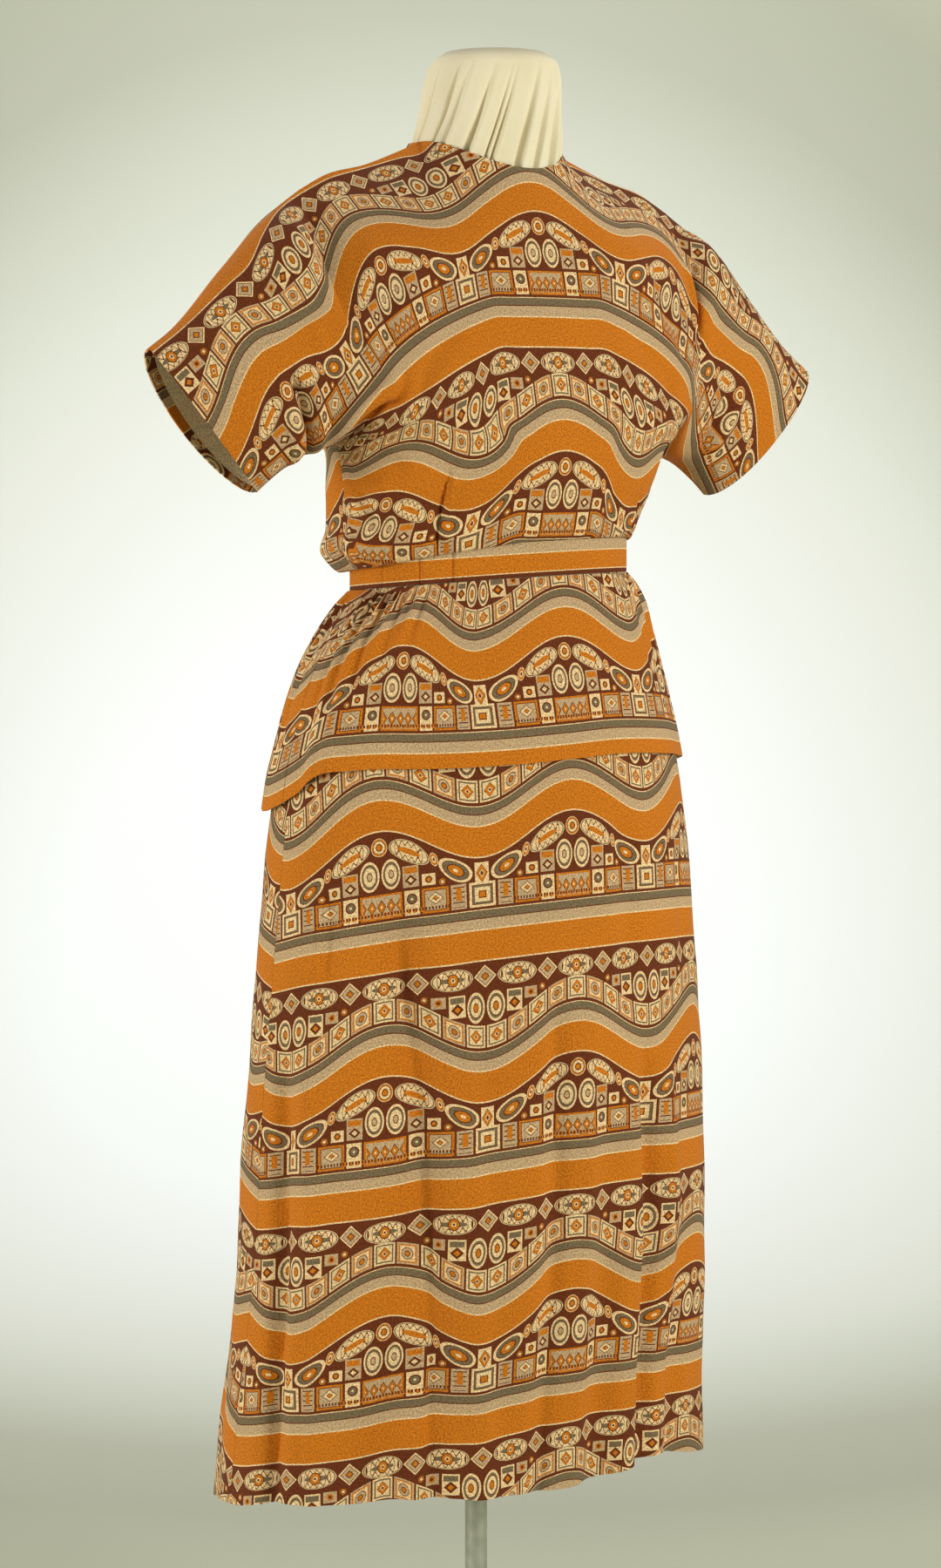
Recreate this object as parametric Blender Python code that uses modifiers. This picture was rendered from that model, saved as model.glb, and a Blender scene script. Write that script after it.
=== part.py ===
"""A day dress on a limbless dress form.

The dress has a round neckline, short kimono sleeves cut in one with the bodice, an inset
waistband, a gathered peplum and an A-line skirt. Metres, +Z up. The dress faces -Y, the
wearer's left is at +X, and the origin is on the floor under the form's pole.

Angles run round the body from centre front (0) over the wearer's left side (a quarter turn).
"""

import math

import bpy
import numpy as np

COLLECTION = "day_dress"

# Driving dimensions.
CLOTH = 0.0013
SEAM_GAP = 0.0006
PIECE_GAP = 0.0003
WAIST_HEIGHT = 1.0330
BAND_WIDTH = 0.0318
PEPLUM_HEM_HEIGHT = 0.8629
SKIRT_HEM_HEIGHT = 0.2617
UNDERARM_HEIGHT = 1.1450
NECK_RADIUS = 0.0645
NECK_MIDDLE = -0.0140
NECK_FRONT_HEIGHT = 1.3730
NECK_SIDE_HEIGHT = 1.3965
NECK_BACK_HEIGHT = 1.4035
SLEEVE_LENGTH = 0.1600
SLEEVE_HEM_DEPTH = 0.0110
SLEEVE_HEM_STEP = 0.0015
POLE_RADIUS = 0.0095
BASE_RADIUS = 0.1700

# Slope of the waist, as rise for each metre to the wearer's left and to the back.
WAIST_SLOPE = (0.043, -0.065)

# Columns and rows of the meshes.
SKIRT_COLUMNS = 34
SKIRT_ROWS = 15
PEPLUM_DROPS = (0, 0.07, 0.2, 0.4, 0.6, 0.8, 0.93, 1)
GATHER_COLUMNS = 4
SMOOTH_FRONT_COLUMNS = 9
BAND_COLUMNS = 24
BODY_COLUMNS = 10
SLEEVE_COLUMNS = 8
BODY_ROWS = 9
CHEST_ROWS = 9
FORM_COLUMNS = 36
SHARP_ANGLE = 40


def table(columns, *rows):
    """A table with named columns, each a numpy array."""
    return dict(zip(columns.split(), np.array(rows, float).T))


# Rings of the bodice below the arms. Level -1 is the join to the band, 0 the underarm.
# The blouse and sag columns scale how far the cloth stands out and hangs over the band.
BODICE_RINGS = table(
    "level height width front back middle_x middle_y front_power back_power blouse sag",
    (-1.00, 1.0650, 0.1255, 0.0942, 0.0940, 0.003, -0.0150, 2.1, 2.1, 0.00, 0.00),
    (-0.88, 1.0620, 0.1268, 0.0952, 0.0952, 0.003, -0.0150, 2.1, 2.1, 0.28, 1.00),
    (-0.74, 1.0680, 0.1290, 0.0975, 0.0980, 0.003, -0.0155, 2.1, 2.1, 1.00, 0.35),
    (-0.50, 1.0850, 0.1355, 0.1005, 0.1030, 0.003, -0.0170, 2.1, 2.1, 0.55, 0.00),
    (-0.25, 1.1120, 0.1455, 0.1045, 0.1050, 0.003, -0.0195, 2.2, 2.2, 0.10, 0.00),
    (0.00, UNDERARM_HEIGHT, 0.1540, 0.1060, 0.1020, 0.004, -0.0220, 2.3, 2.2, 0.00, 0.00),
)

# How far the blouse stands out, and how far it hangs, round the body in degrees.
BLOUSE = table(
    "angle out drop",
    (-180, 0.0100, 0.0080),
    (-115, 0.0190, 0.0130),
    (-80, 0.0150, 0.0120),
    (-50, 0.0045, 0.0050),
    (-15, 0.0010, 0.0000),
    (55, 0.0010, 0.0000),
    (90, 0.0030, 0.0030),
    (130, 0.0070, 0.0070),
    (180, 0.0100, 0.0080),
)

# Rows of the chest and of the upper back, from the centre line to the armhole.
CHEST_COLUMNS = "level middle_y middle_height arm_x arm_y arm_height turn"
CHEST = table(
    CHEST_COLUMNS,
    (0.13, -0.1260, 1.1680, 0.1560, -0.0880, 1.1700, 84),
    (0.30, -0.1210, 1.1950, 0.1520, -0.0960, 1.1930, 78),
    (0.60, -0.1070, 1.2600, 0.1780, -0.0740, 1.2530, 60),
    (0.85, -0.0900, 1.3280, 0.1860, -0.0430, 1.3130, 48),
)
UPPER_BACK = table(
    CHEST_COLUMNS,
    (0.13, 0.0840, 1.1680, 0.1560, 0.0340, 1.1620, 84),
    (0.30, 0.0860, 1.1950, 0.1530, 0.0460, 1.1900, 78),
    (0.60, 0.0860, 1.2680, 0.1780, 0.0340, 1.2530, 60),
    (0.85, 0.0730, 1.3460, 0.1860, 0.0110, 1.3140, 48),
)
SHOULDER = table(
    "x height y",
    (NECK_RADIUS, NECK_SIDE_HEIGHT, NECK_MIDDLE),
    (0.0900, 1.3860, -0.0155),
    (0.1200, 1.3745, -0.0165),
    (0.1600, 1.3635, -0.0175),
    (0.1850, 1.3500, -0.0180),
)
NECK_SHARE = 0.5
SEAM_HOLD = 4

# Sections of the sleeve, from the armhole (0) to its hem (1).
SLEEVE = table(
    "along top_x top_y top_height low_x low_y low_height front back bow power low_power",
    (0.22, 0.2130, -0.0210, 1.3300, 0.1760, -0.0200, 1.1410, 0.054, 0.044, 0.000, 2.1, 3.2),
    (0.50, 0.2580, -0.0260, 1.2850, 0.1960, -0.0220, 1.1330, 0.043, 0.040, 0.004, 2.1, 2.9),
    (0.78, 0.3010, -0.0290, 1.2400, 0.2150, -0.0220, 1.1190, 0.033, 0.032, 0.007, 2.1, 2.4),
    (1.00, 0.3300, -0.0310, 1.2190, 0.2280, -0.0210, 1.1070, 0.025, 0.026, 0.009, 2.0, 2.1),
)

UNDERSIDE_FROM = 0.5
UNDERSIDE_BLEND = 2

# Rings of the skirt and of the peplum over it, by height on the pole's line.
RING_COLUMNS = "height width front back middle_x middle_y power"
WAIST_RING = (WAIST_HEIGHT, 0.1245, 0.0932, 0.0932, 0.003, -0.0150, 2.1)
SKIRT_RINGS = table(
    RING_COLUMNS,
    (SKIRT_HEM_HEIGHT, 0.2300, 0.1570, 0.1640, -0.0045, 0.0170, 2.0),
    (0.3325, 0.2255, 0.1540, 0.1610, -0.0045, 0.0115, 2.0),
    (0.4100, 0.2215, 0.1510, 0.1570, -0.0040, 0.0020, 2.0),
    (0.4900, 0.2180, 0.1490, 0.1540, -0.0040, -0.0060, 2.0),
    (0.5700, 0.2145, 0.1475, 0.1500, -0.0045, -0.0080, 2.0),
    (0.6500, 0.2090, 0.1450, 0.1470, -0.0040, -0.0090, 2.0),
    (0.7350, 0.2020, 0.1400, 0.1420, -0.0035, -0.0100, 2.0),
    (0.8300, 0.1925, 0.1330, 0.1345, -0.0035, -0.0105, 2.0),
    (0.8830, 0.1830, 0.1285, 0.1295, -0.0060, -0.0108, 2.0),
    (0.9500, 0.1620, 0.1130, 0.1150, -0.0060, -0.0120, 2.0),
    (0.9950, 0.1405, 0.1000, 0.1020, -0.0020, -0.0140, 2.1),
    (WAIST_HEIGHT, 0.1222, 0.0908, 0.0908, 0.0030, -0.0150, 2.1),
)
PEPLUM_RINGS = table(
    RING_COLUMNS,
    (PEPLUM_HEM_HEIGHT, 0.1895, 0.1360, 0.1370, -0.0050, -0.0105, 2.0),
    (0.8900, 0.1850, 0.1325, 0.1335, -0.0060, -0.0108, 2.0),
    (0.9180, 0.1780, 0.1270, 0.1280, -0.0060, -0.0110, 2.0),
    (0.9510, 0.1685, 0.1195, 0.1215, -0.0060, -0.0120, 2.0),
    (0.9840, 0.1550, 0.1105, 0.1125, -0.0040, -0.0130, 2.1),
    (1.0085, 0.1425, 0.1025, 0.1045, 0.0000, -0.0145, 2.1),
    (WAIST_HEIGHT, 0.1258, 0.0944, 0.0944, 0.0030, -0.0150, 2.1),
)

# Heights of the two hems round the body, in degrees.
HEMS = table(
    "angle peplum skirt",
    (-180, 0.8420, 0.2500),
    (-113, 0.8450, 0.2523),
    (-95, 0.8480, 0.2680),
    (-86, 0.8610, 0.2726),
    (-78, 0.8780, 0.2800),
    (-68, 0.8835, 0.2835),
    (-50, 0.8851, 0.2870),
    (-25, 0.8872, 0.2868),
    (0, 0.8905, 0.2840),
    (22, 0.8927, 0.2877),
    (38, 0.8912, 0.2925),
    (55, 0.8875, 0.2800),
    (68, 0.8834, 0.2720),
    (84, 0.8750, 0.2660),
    (98, 0.8560, 0.2580),
    (113, 0.8460, 0.2530),
    (180, 0.8420, 0.2500),
)

# Soft folds hung from the waist: where round the body, how wide, the drop at which they
# start, and how far they stand out (or in, below zero) at the hem. Degrees and metres.
FOLD_COLUMNS = "angle width start out"
SKIRT_FOLDS = table(
    FOLD_COLUMNS,
    (-78, 9, 0.45, 0.0070),
    (-64, 7, 0.55, 0.0050),
    (-52, 6, 0.40, -0.0090),
    (-24, 18, 0.50, 0.0050),
    (12, 7, 0.45, -0.0080),
    (28, 9, 0.50, 0.0050),
    (43, 6, 0.60, -0.0070),
    (60, 9, 0.45, 0.0070),
    (78, 7, 0.55, -0.0060),
    (104, 9, 0.40, 0.0080),
    (124, 7, 0.45, -0.0080),
    (146, 11, 0.40, 0.0080),
    (168, 8, 0.50, -0.0070),
    (190, 11, 0.45, 0.0070),
    (214, 7, 0.50, -0.0080),
    (234, 10, 0.40, 0.0070),
    (254, 6, 0.55, -0.0060),
)
PEPLUM_FOLDS = table(
    FOLD_COLUMNS,
    (-76, 9, 0.10, 0.0035),
    (-58, 7, 0.10, -0.0030),
    (-40, 9, 0.15, 0.0020),
    (48, 8, 0.15, 0.0020),
    (64, 7, 0.10, -0.0025),
    (80, 9, 0.10, 0.0035),
    (104, 9, 0.10, 0.0020),
    (128, 9, 0.10, 0.0030),
    (232, 9, 0.10, 0.0030),
    (252, 8, 0.10, -0.0025),
)

# Stretches of the peplum's top that are gathered: from, to, in degrees, and gathers in each.
GATHERED = table(
    "start end count",
    (-88, -34, 7),
    (40, 88, 6),
    (92, 146, 7),
    (214, 268, 7),
)
GATHER_TOP = 0.0007
GATHER_DEEPEST = 0.0032
GATHER_DEEPEST_AT = 0.20
GATHER_HEM = 0.0004
GATHER_UNEVEN = 0.018
GATHER_UNEVEN_TURNS = 7
GATHER_FADE = 6
PEPLUM_FLARE = 0.45

# Rings of the torso form. Saddle lifts a ring at the sides, for the slope of the shoulders.
FORM_RINGS = table(
    "height width front back middle_x middle_y power saddle",
    (0.7900, 0.1050, 0.0720, 0.0740, 0.000, -0.0110, 2.0, 0.0),
    (0.7960, 0.1300, 0.0900, 0.0920, 0.000, -0.0110, 2.0, 0.0),
    (0.8150, 0.1480, 0.1030, 0.1050, -0.002, -0.0110, 2.0, 0.0),
    (0.8600, 0.1600, 0.1100, 0.1120, -0.004, -0.0110, 2.0, 0.0),
    (0.9100, 0.1530, 0.1060, 0.1090, -0.005, -0.0115, 2.0, 0.0),
    (0.9600, 0.1390, 0.0965, 0.0990, -0.003, -0.0125, 2.1, 0.0),
    (1.0000, 0.1230, 0.0875, 0.0885, 0.000, -0.0140, 2.1, 0.0),
    (1.0450, 0.1145, 0.0840, 0.0845, 0.003, -0.0150, 2.1, 0.0),
    (1.0850, 0.1230, 0.0890, 0.0900, 0.003, -0.0165, 2.1, 0.0),
    (1.1360, 0.1400, 0.0960, 0.0930, 0.004, -0.0210, 2.2, 0.0),
    (1.1900, 0.1380, 0.0930, 0.0900, 0.002, -0.0180, 2.4, 0.0),
    (1.2500, 0.1460, 0.0790, 0.0860, 0.000, -0.0150, 2.4, 0.0),
    (1.3000, 0.1550, 0.0620, 0.0780, 0.000, -0.0150, 2.2, 0.0),
    (1.3230, 0.1480, 0.0530, 0.0680, 0.000, -0.0150, 2.0, 0.008),
    (1.3380, 0.1200, 0.0480, 0.0600, 0.000, -0.0148, 2.0, 0.014),
    (1.3480, 0.0870, 0.0470, 0.0550, 0.000, -0.0145, 2.0, 0.018),
    (1.3540, 0.0620, 0.0470, 0.0530, 0.000, -0.0140, 2.0, 0.019),
    (1.3645, 0.0300, 0.0300, 0.0300, 0.000, -0.0140, 2.0, 0.0),
)

# Rings of the cloth cover on the neck, and how deep its gathered folds are there.
COVER_RINGS = table(
    "height radius middle_x middle_y saddle fold",
    (1.3660, 0.0300, 0.000, -0.0140, 0.0, 0.0),
    (1.3560, 0.0590, 0.000, -0.0140, 0.0195, 0.0002),
    (1.3690, 0.0616, 0.000, -0.0140, 0.016, 0.0008),
    (1.3830, 0.0620, 0.000, -0.0145, 0.010, 0.0012),
    (1.3970, 0.0606, 0.000, -0.0165, 0.005, 0.0014),
    (1.4150, 0.0580, 0.000, -0.0200, 0.0, 0.0014),
    (1.4370, 0.0543, 0.000, -0.0245, 0.0, 0.0012),
    (1.4560, 0.0513, 0.000, -0.0280, 0.0, 0.0009),
    (1.4650, 0.0485, 0.000, -0.0295, 0.0, 0.0005),
    (1.4700, 0.0420, 0.000, -0.0300, 0.0, 0.0),
)
COVER_FOLDS = 22
COVER_TWIST = 0.35
COVER_COLUMNS = 88


def smooth(keys, values, at):
    """Values at some places of a smooth curve through the given ones."""
    keys = np.asarray(keys, float)
    values = np.asarray(values, float)
    at = np.clip(np.asarray(at, float), keys[0], keys[-1])
    slopes = np.gradient(values, keys, axis=0)
    low = np.clip(np.searchsorted(keys, at, side="right") - 1, 0, len(keys) - 2)
    lead = (len(at),) + (1,) * (values.ndim - 1)
    step = (keys[low + 1] - keys[low]).reshape(lead)
    t = (at - keys[low]).reshape(lead) / step
    start = (2 * t**3 - 3 * t**2 + 1) * values[low] + (t**3 - 2 * t**2 + t) * step * slopes[low]
    return start + (3 * t**2 - 2 * t**3) * values[low + 1] + (t**3 - t**2) * step * slopes[low + 1]


def ease(x):
    """A smooth step from 0 to 1 as x goes from 0 to 1."""
    x = np.clip(x, 0, 1)
    return x * x * (3 - 2 * x)


def oval(angle, width, front, back, power):
    """Distance from the middle to an egg-shaped ring, at each angle."""
    side = np.abs(np.sin(angle)) / width
    ahead = np.cos(angle)
    depth = np.abs(ahead) / np.where(ahead > 0, front, back)
    return (side**power + depth**power) ** (-1 / power)


def ring_angles(*stretches):
    """Angles round the body from the right side seam, as (start, end, columns) stretches in degrees."""
    parts = [np.linspace(start, end, int(columns) + 1)[:-1] for start, end, columns in stretches]
    return np.radians(np.concatenate(parts))


def fold_depth(folds, angle, drop):
    """How far the folds move the cloth outwards, at each angle and drop."""
    total = np.zeros(np.broadcast(angle, drop).shape)
    for middle, width, start, out in zip(*(folds[name] for name in FOLD_COLUMNS.split())):
        away = np.degrees(np.angle(np.exp(1j * (angle - math.radians(middle)))))
        total = total + out * ease((drop - start) / (1 - start)) * np.exp(-((away / width) ** 2))
    return total


def gather_depth(angle, drop):
    """The gathers under the band, deepest a little below it and gone at the hem."""
    turn = np.degrees(angle)
    wave = np.zeros(turn.shape)
    for start, end, count in zip(*GATHERED.values()):
        share = (turn - start) / (end - start)
        uneven = share + GATHER_UNEVEN * np.sin(GATHER_UNEVEN_TURNS * share + start)
        inside = (share >= 0) & (share <= 1)
        fade = ease(share * GATHER_FADE) * ease((1 - share) * GATHER_FADE)
        wave = wave + np.where(inside, fade * np.sin(2 * np.pi * count * uneven), 0)
    rise = ease(drop / GATHER_DEEPEST_AT)
    fall = ease((drop - GATHER_DEEPEST_AT) / (1 - GATHER_DEEPEST_AT))
    size = GATHER_TOP + (GATHER_DEEPEST - GATHER_TOP) * rise - (GATHER_DEEPEST - GATHER_HEM) * fall
    return wave * size


def hem_level(hem, angles):
    """Height of the peplum's or skirt's hem at each angle."""
    turn = np.degrees(np.angle(np.exp(1j * angles)))
    return smooth(HEMS["angle"], HEMS[hem], turn)


def hanging(rings, angles, drops, hem, out):
    """Points of cloth hung from the waist, a row for each drop. out gives what folds add."""
    heights = rings["height"][-1] + (rings["height"][0] - rings["height"][-1]) * drops
    ring = {name: smooth(rings["height"], rings[name], heights)[:, None] for name in rings}
    drop = drops[:, None]
    angle = angles[None, :]
    reach = oval(angle, ring["width"], ring["front"], ring["back"], ring["power"])
    reach = reach + out(angle, drop)
    x = reach * np.sin(angle)
    y = -reach * np.cos(angle)
    level = hem_level(hem, angles)[None, :] - rings["height"][0]
    z = heights[:, None] + (1 - drop) * (WAIST_SLOPE[0] * x + WAIST_SLOPE[1] * y) + drop * level
    return np.stack([x + ring["middle_x"], y + ring["middle_y"], z], axis=-1)


def ring_normals(points):
    """Outward unit normals of rows of points that close on themselves."""
    across = np.roll(points, -1, axis=1) - np.roll(points, 1, axis=1)
    down = np.gradient(points, axis=0)
    normal = np.cross(across, down)
    normal /= np.linalg.norm(normal, axis=-1, keepdims=True)
    outwards = (normal * (points - points.mean(axis=1, keepdims=True))).sum()
    return normal if outwards > 0 else -normal


def collection():
    found = bpy.data.collections.get(COLLECTION)
    if found is None:
        found = bpy.data.collections.new(COLLECTION)
        bpy.context.scene.collection.children.link(found)
    return found


def finish_mesh(name, vertices, faces, material):
    """A named object with smooth shading, its faces pointing out."""
    mesh = bpy.data.meshes.new(name)
    mesh.from_pydata([tuple(v) for v in vertices], [], faces)
    mesh.validate()
    obj = bpy.data.objects.new(name, mesh)
    collection().objects.link(obj)
    mesh.materials.append(material)
    mesh.shade_smooth()
    mesh.set_sharp_from_angle(angle=math.radians(SHARP_ANGLE))
    return obj


def wall(name, outer, inner, material, cells=None):
    """A closed wall of cloth between two grids of points. cells says which squares of the grid exist."""
    rows, columns = outer.shape[:2]
    if cells is None:
        cells = np.ones((rows - 1, columns - 1), bool)
    used = {}
    vertices = []

    def corner(side, r, c):
        key = (side, r, c)
        if key not in used:
            used[key] = len(vertices)
            vertices.append((outer, inner)[side][r, c])
        return used[key]

    edges = {}
    faces = []
    for r, c in zip(*np.nonzero(cells)):
        loop = [(r, c), (r + 1, c), (r + 1, c + 1), (r, c + 1)]
        faces.append([corner(0, *p) for p in loop])
        faces.append([corner(1, *p) for p in reversed(loop)])
        for a, b in zip(loop, loop[1:] + loop[:1]):
            edges[a, b] = edges.get((a, b), 0) + 1
    for a, b in edges:
        if (b, a) not in edges:
            faces.append([corner(0, *b), corner(0, *a), corner(1, *a), corner(1, *b)])
    points = np.array(vertices)
    if signed_volume(points, faces) < 0:
        faces = [face[::-1] for face in faces]
    return finish_mesh(name, points, faces, material)


def signed_volume(points, faces):
    total = 0.0
    for face in faces:
        for i in range(1, len(face) - 1):
            a, b, c = points[face[0]], points[face[i]], points[face[i + 1]]
            total += np.dot(a, np.cross(b, c))
    return total


def stacked(name, rings, material):
    """A closed body from a stack of rings, with flat caps at both ends."""
    count = rings.shape[1]
    vertices = rings.reshape(-1, 3)
    faces = [list(range(count)), [len(vertices) - count + i for i in reversed(range(count))]]
    for r in range(len(rings) - 1):
        for c in range(count):
            n = (c + 1) % count
            faces.append([r * count + n, r * count + c, (r + 1) * count + c, (r + 1) * count + n])
    if signed_volume(vertices, faces) < 0:
        faces = [face[::-1] for face in faces]
    return finish_mesh(name, vertices, faces, material)


def material(name, colour, roughness, metallic=0.0):
    made = bpy.data.materials.new(name)
    made.use_nodes = True
    shader = made.node_tree.nodes["Principled BSDF"]
    shader.inputs["Base Color"].default_value = (*colour, 1.0)
    shader.inputs["Roughness"].default_value = roughness
    shader.inputs["Metallic"].default_value = metallic
    made.diffuse_color = (*colour, 1.0)
    return made


def front_and_back(name, points, normals, thickness, cloth):
    """The front and back walls of a tube of cloth, parted at the side seams."""
    half = points.shape[1] // 2
    closed = np.concatenate([points, points[:, :1]], axis=1)
    inside = np.concatenate([points - normals * thickness, (points - normals * thickness)[:, :1]], axis=1)
    pieces = (("front", slice(0, half + 1), -1), ("back", slice(half, 2 * half + 1), 1))
    for side, columns, away in pieces:
        outer = closed[:, columns].copy()
        inner = inside[:, columns].copy()
        for grid in (outer, inner):
            for edge in (0, -1):
                grid[:, edge, 1] += away * SEAM_GAP / 2
        wall(f"{name}_{side}", outer, inner, cloth)


def make_skirt(cloth):
    angles = ring_angles((-90, 90, SKIRT_COLUMNS), (90, 270, SKIRT_COLUMNS))
    drops = np.linspace(0, 1, SKIRT_ROWS + 1)
    points = hanging(
        SKIRT_RINGS,
        angles,
        drops,
        "skirt",
        lambda angle, drop: fold_depth(SKIRT_FOLDS, angle, drop),
    )
    points[0, :, 2] -= PIECE_GAP
    front_and_back("skirt", points, ring_normals(points), CLOTH, cloth)


def peplum_angles():
    """More columns where the cloth is gathered. The halves have the same number."""
    gathers = GATHERED["count"] * GATHER_COLUMNS
    front = [(-90, -34, gathers[0]), (-34, 40, SMOOTH_FRONT_COLUMNS), (40, 90, gathers[1])]
    back_plain = gathers[0] + SMOOTH_FRONT_COLUMNS + gathers[1] - gathers[2] - gathers[3]
    back = [(90, 146, gathers[2]), (146, 214, back_plain), (214, 270, gathers[3])]
    return ring_angles(*front, *back)


def make_peplum(cloth):
    drops = np.array(PEPLUM_DROPS)
    angles = peplum_angles()
    longer = np.maximum(PEPLUM_HEM_HEIGHT - hem_level("peplum", angles), 0)

    def out(angle, drop):
        flare = PEPLUM_FLARE * longer[None, :] * drop
        return fold_depth(PEPLUM_FOLDS, angle, drop) + gather_depth(angle, drop) + flare

    points = hanging(PEPLUM_RINGS, angles, drops, "peplum", out)
    points[0, :, 2] -= PIECE_GAP
    front_and_back("peplum", points, ring_normals(points), CLOTH, cloth)


def make_waistband(cloth):
    angles = ring_angles((-90, 90, BAND_COLUMNS), (90, 270, BAND_COLUMNS))[None, :]
    _, width, front, back, middle_x, middle_y, power = WAIST_RING
    reach = oval(angles, width, front, back, power)
    x = reach * np.sin(angles)
    y = -reach * np.cos(angles)
    rise = np.array([[PIECE_GAP], [BAND_WIDTH / 2], [BAND_WIDTH - PIECE_GAP]])
    z = WAIST_HEIGHT + WAIST_SLOPE[0] * x + WAIST_SLOPE[1] * y + rise
    points = np.stack([x + middle_x + 0 * rise, y + middle_y + 0 * rise, z], axis=-1)
    front_and_back("waistband", points, ring_normals(points), CLOTH, cloth)


def bodice_ring_rows(turns):
    """A row of points for each bodice ring, at the given angles."""
    out = np.interp(np.degrees(turns), BLOUSE["angle"], BLOUSE["out"])
    drop = np.interp(np.degrees(turns), BLOUSE["angle"], BLOUSE["drop"])
    rows = []
    for height, width, front, back, mx, my, fp, bp, blouse, sag in zip(*list(BODICE_RINGS.values())[1:]):
        power = np.where(np.cos(turns) > 0, fp, bp)
        reach = oval(turns, width, front, back, power) + blouse * out
        x = reach * np.sin(turns)
        y = -reach * np.cos(turns)
        level = np.clip((UNDERARM_HEIGHT - height) / (UNDERARM_HEIGHT - BODICE_RINGS["height"][0]), 0, 1)
        z = height - sag * drop + level * (WAIST_SLOPE[0] * x + WAIST_SLOPE[1] * y)
        rows.append(np.stack([x + mx, y + my, z], axis=-1))
    return rows


def chest_row(row, share, side):
    """Points from the centre line (share 0) to the armhole (share 1) on one side."""
    turn = math.radians(row["turn"])
    across = np.sin(share * turn) / math.sin(turn)
    forward = (np.cos(share * turn) - math.cos(turn)) / (1 - math.cos(turn))
    x = side * row["arm_x"] * across
    y = row["arm_y"] + (row["middle_y"] - row["arm_y"]) * forward
    z = row["middle_height"] + (row["arm_height"] - row["middle_height"]) * share**1.5
    return np.stack([x, y, z], axis=-1)


def top_row(share, side, ahead):
    """The neckline from its middle to the side of the neck, then the shoulder seam."""
    turn = np.clip(share / NECK_SHARE, 0, 1) * math.pi / 2
    middle_height = NECK_FRONT_HEIGHT if ahead > 0 else NECK_BACK_HEIGHT
    x = NECK_RADIUS * np.sin(turn)
    y = NECK_MIDDLE - ahead * NECK_RADIUS * np.cos(turn)
    z = middle_height + (NECK_SIDE_HEIGHT - middle_height) * np.sin(turn) ** 2
    out = share > NECK_SHARE
    reach = (share[out] - NECK_SHARE) / (1 - NECK_SHARE)
    x[out] = SHOULDER["x"][0] + (SHOULDER["x"][-1] - SHOULDER["x"][0]) * reach
    y[out] = smooth(SHOULDER["x"], SHOULDER["y"], x[out])
    z[out] = smooth(SHOULDER["x"], SHOULDER["height"], x[out])
    return np.stack([side * x, y, z], axis=-1)


def body_half(side, ahead, levels, share):
    """One quarter of the bodice's body, a row for each level from -1 to 1."""
    turns = side * share * math.pi / 2
    if ahead < 0:
        turns = side * (math.pi - share * math.pi / 2)
    rows = bodice_ring_rows(turns)
    keys = list(BODICE_RINGS["level"])
    chest = CHEST if ahead > 0 else UPPER_BACK
    for i in range(len(chest["level"])):
        rows.append(chest_row({name: chest[name][i] for name in chest}, share, side))
        keys.append(chest["level"][i])
    rows.append(top_row(share, side, ahead))
    keys.append(1.0)
    points = smooth(keys, rows, levels)
    rings = len(BODICE_RINGS["level"])
    below = levels <= 0
    seam = smooth(keys[:rings], rows[:rings], levels[below])
    points[below] += (seam - points[below]) * (share**SEAM_HOLD)[None, :, None]
    return points


def sleeve_row(section, levels, side, ahead):
    """Half of one section of the sleeve, from the underarm (level 0) to the overarm seam (level 1)."""
    turn = (levels - 0.5) * math.pi
    low_share = ease(UNDERSIDE_FROM - UNDERSIDE_BLEND * np.sin(turn)) * (ahead > 0)
    power = section["power"] + (section["low_power"] - section["power"]) * low_share
    up = np.sign(np.sin(turn)) * np.abs(np.sin(turn)) ** (2 / power)
    out = np.clip(np.cos(turn), 0, 1) ** (2 / power)
    top = np.array([section["top_x"], section["top_y"], section["top_height"]])
    low = np.array([section["low_x"], section["low_y"], section["low_height"]])
    length = np.linalg.norm(top - low)
    outward = np.array([top[2] - low[2], 0, low[0] - top[0]]) / length
    depth = section["front"] if ahead > 0 else section["back"]
    points = (top + low) / 2 + np.outer(up, (top - low) / 2)
    points += np.outer(out, section["bow"] * outward + depth * np.array([0, -ahead, 0]))
    points[:, 0] *= side
    return points


def sleeve_half(side, ahead, armhole, levels, along):
    """Half of a sleeve, a column for each place along it, from the armhole's own points."""
    columns = [armhole]
    for i in range(len(SLEEVE["along"])):
        section = {name: SLEEVE[name][i] for name in SLEEVE}
        columns.append(sleeve_row(section, levels, side, ahead))
    keys = np.concatenate([[0.0], SLEEVE["along"]])
    return np.swapaxes(smooth(keys, columns, along), 0, 1)


def bodice_grid(ahead, levels, share, along):
    """Outer points of the front (ahead 1) or back (ahead -1), from the right sleeve's hem to the left's."""
    upper = levels >= 0
    halves = []
    for side in (-1, 1):
        body = body_half(side, ahead, levels, share)
        sleeve = np.zeros((len(levels), len(along) - 1, 3))
        sleeve[upper] = sleeve_half(side, ahead, body[upper, -1], levels[upper], along)[:, 1:]
        halves.append(np.concatenate([body, sleeve], axis=1))
    right, left = halves
    return np.concatenate([right[:, :0:-1], left], axis=1)


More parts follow.
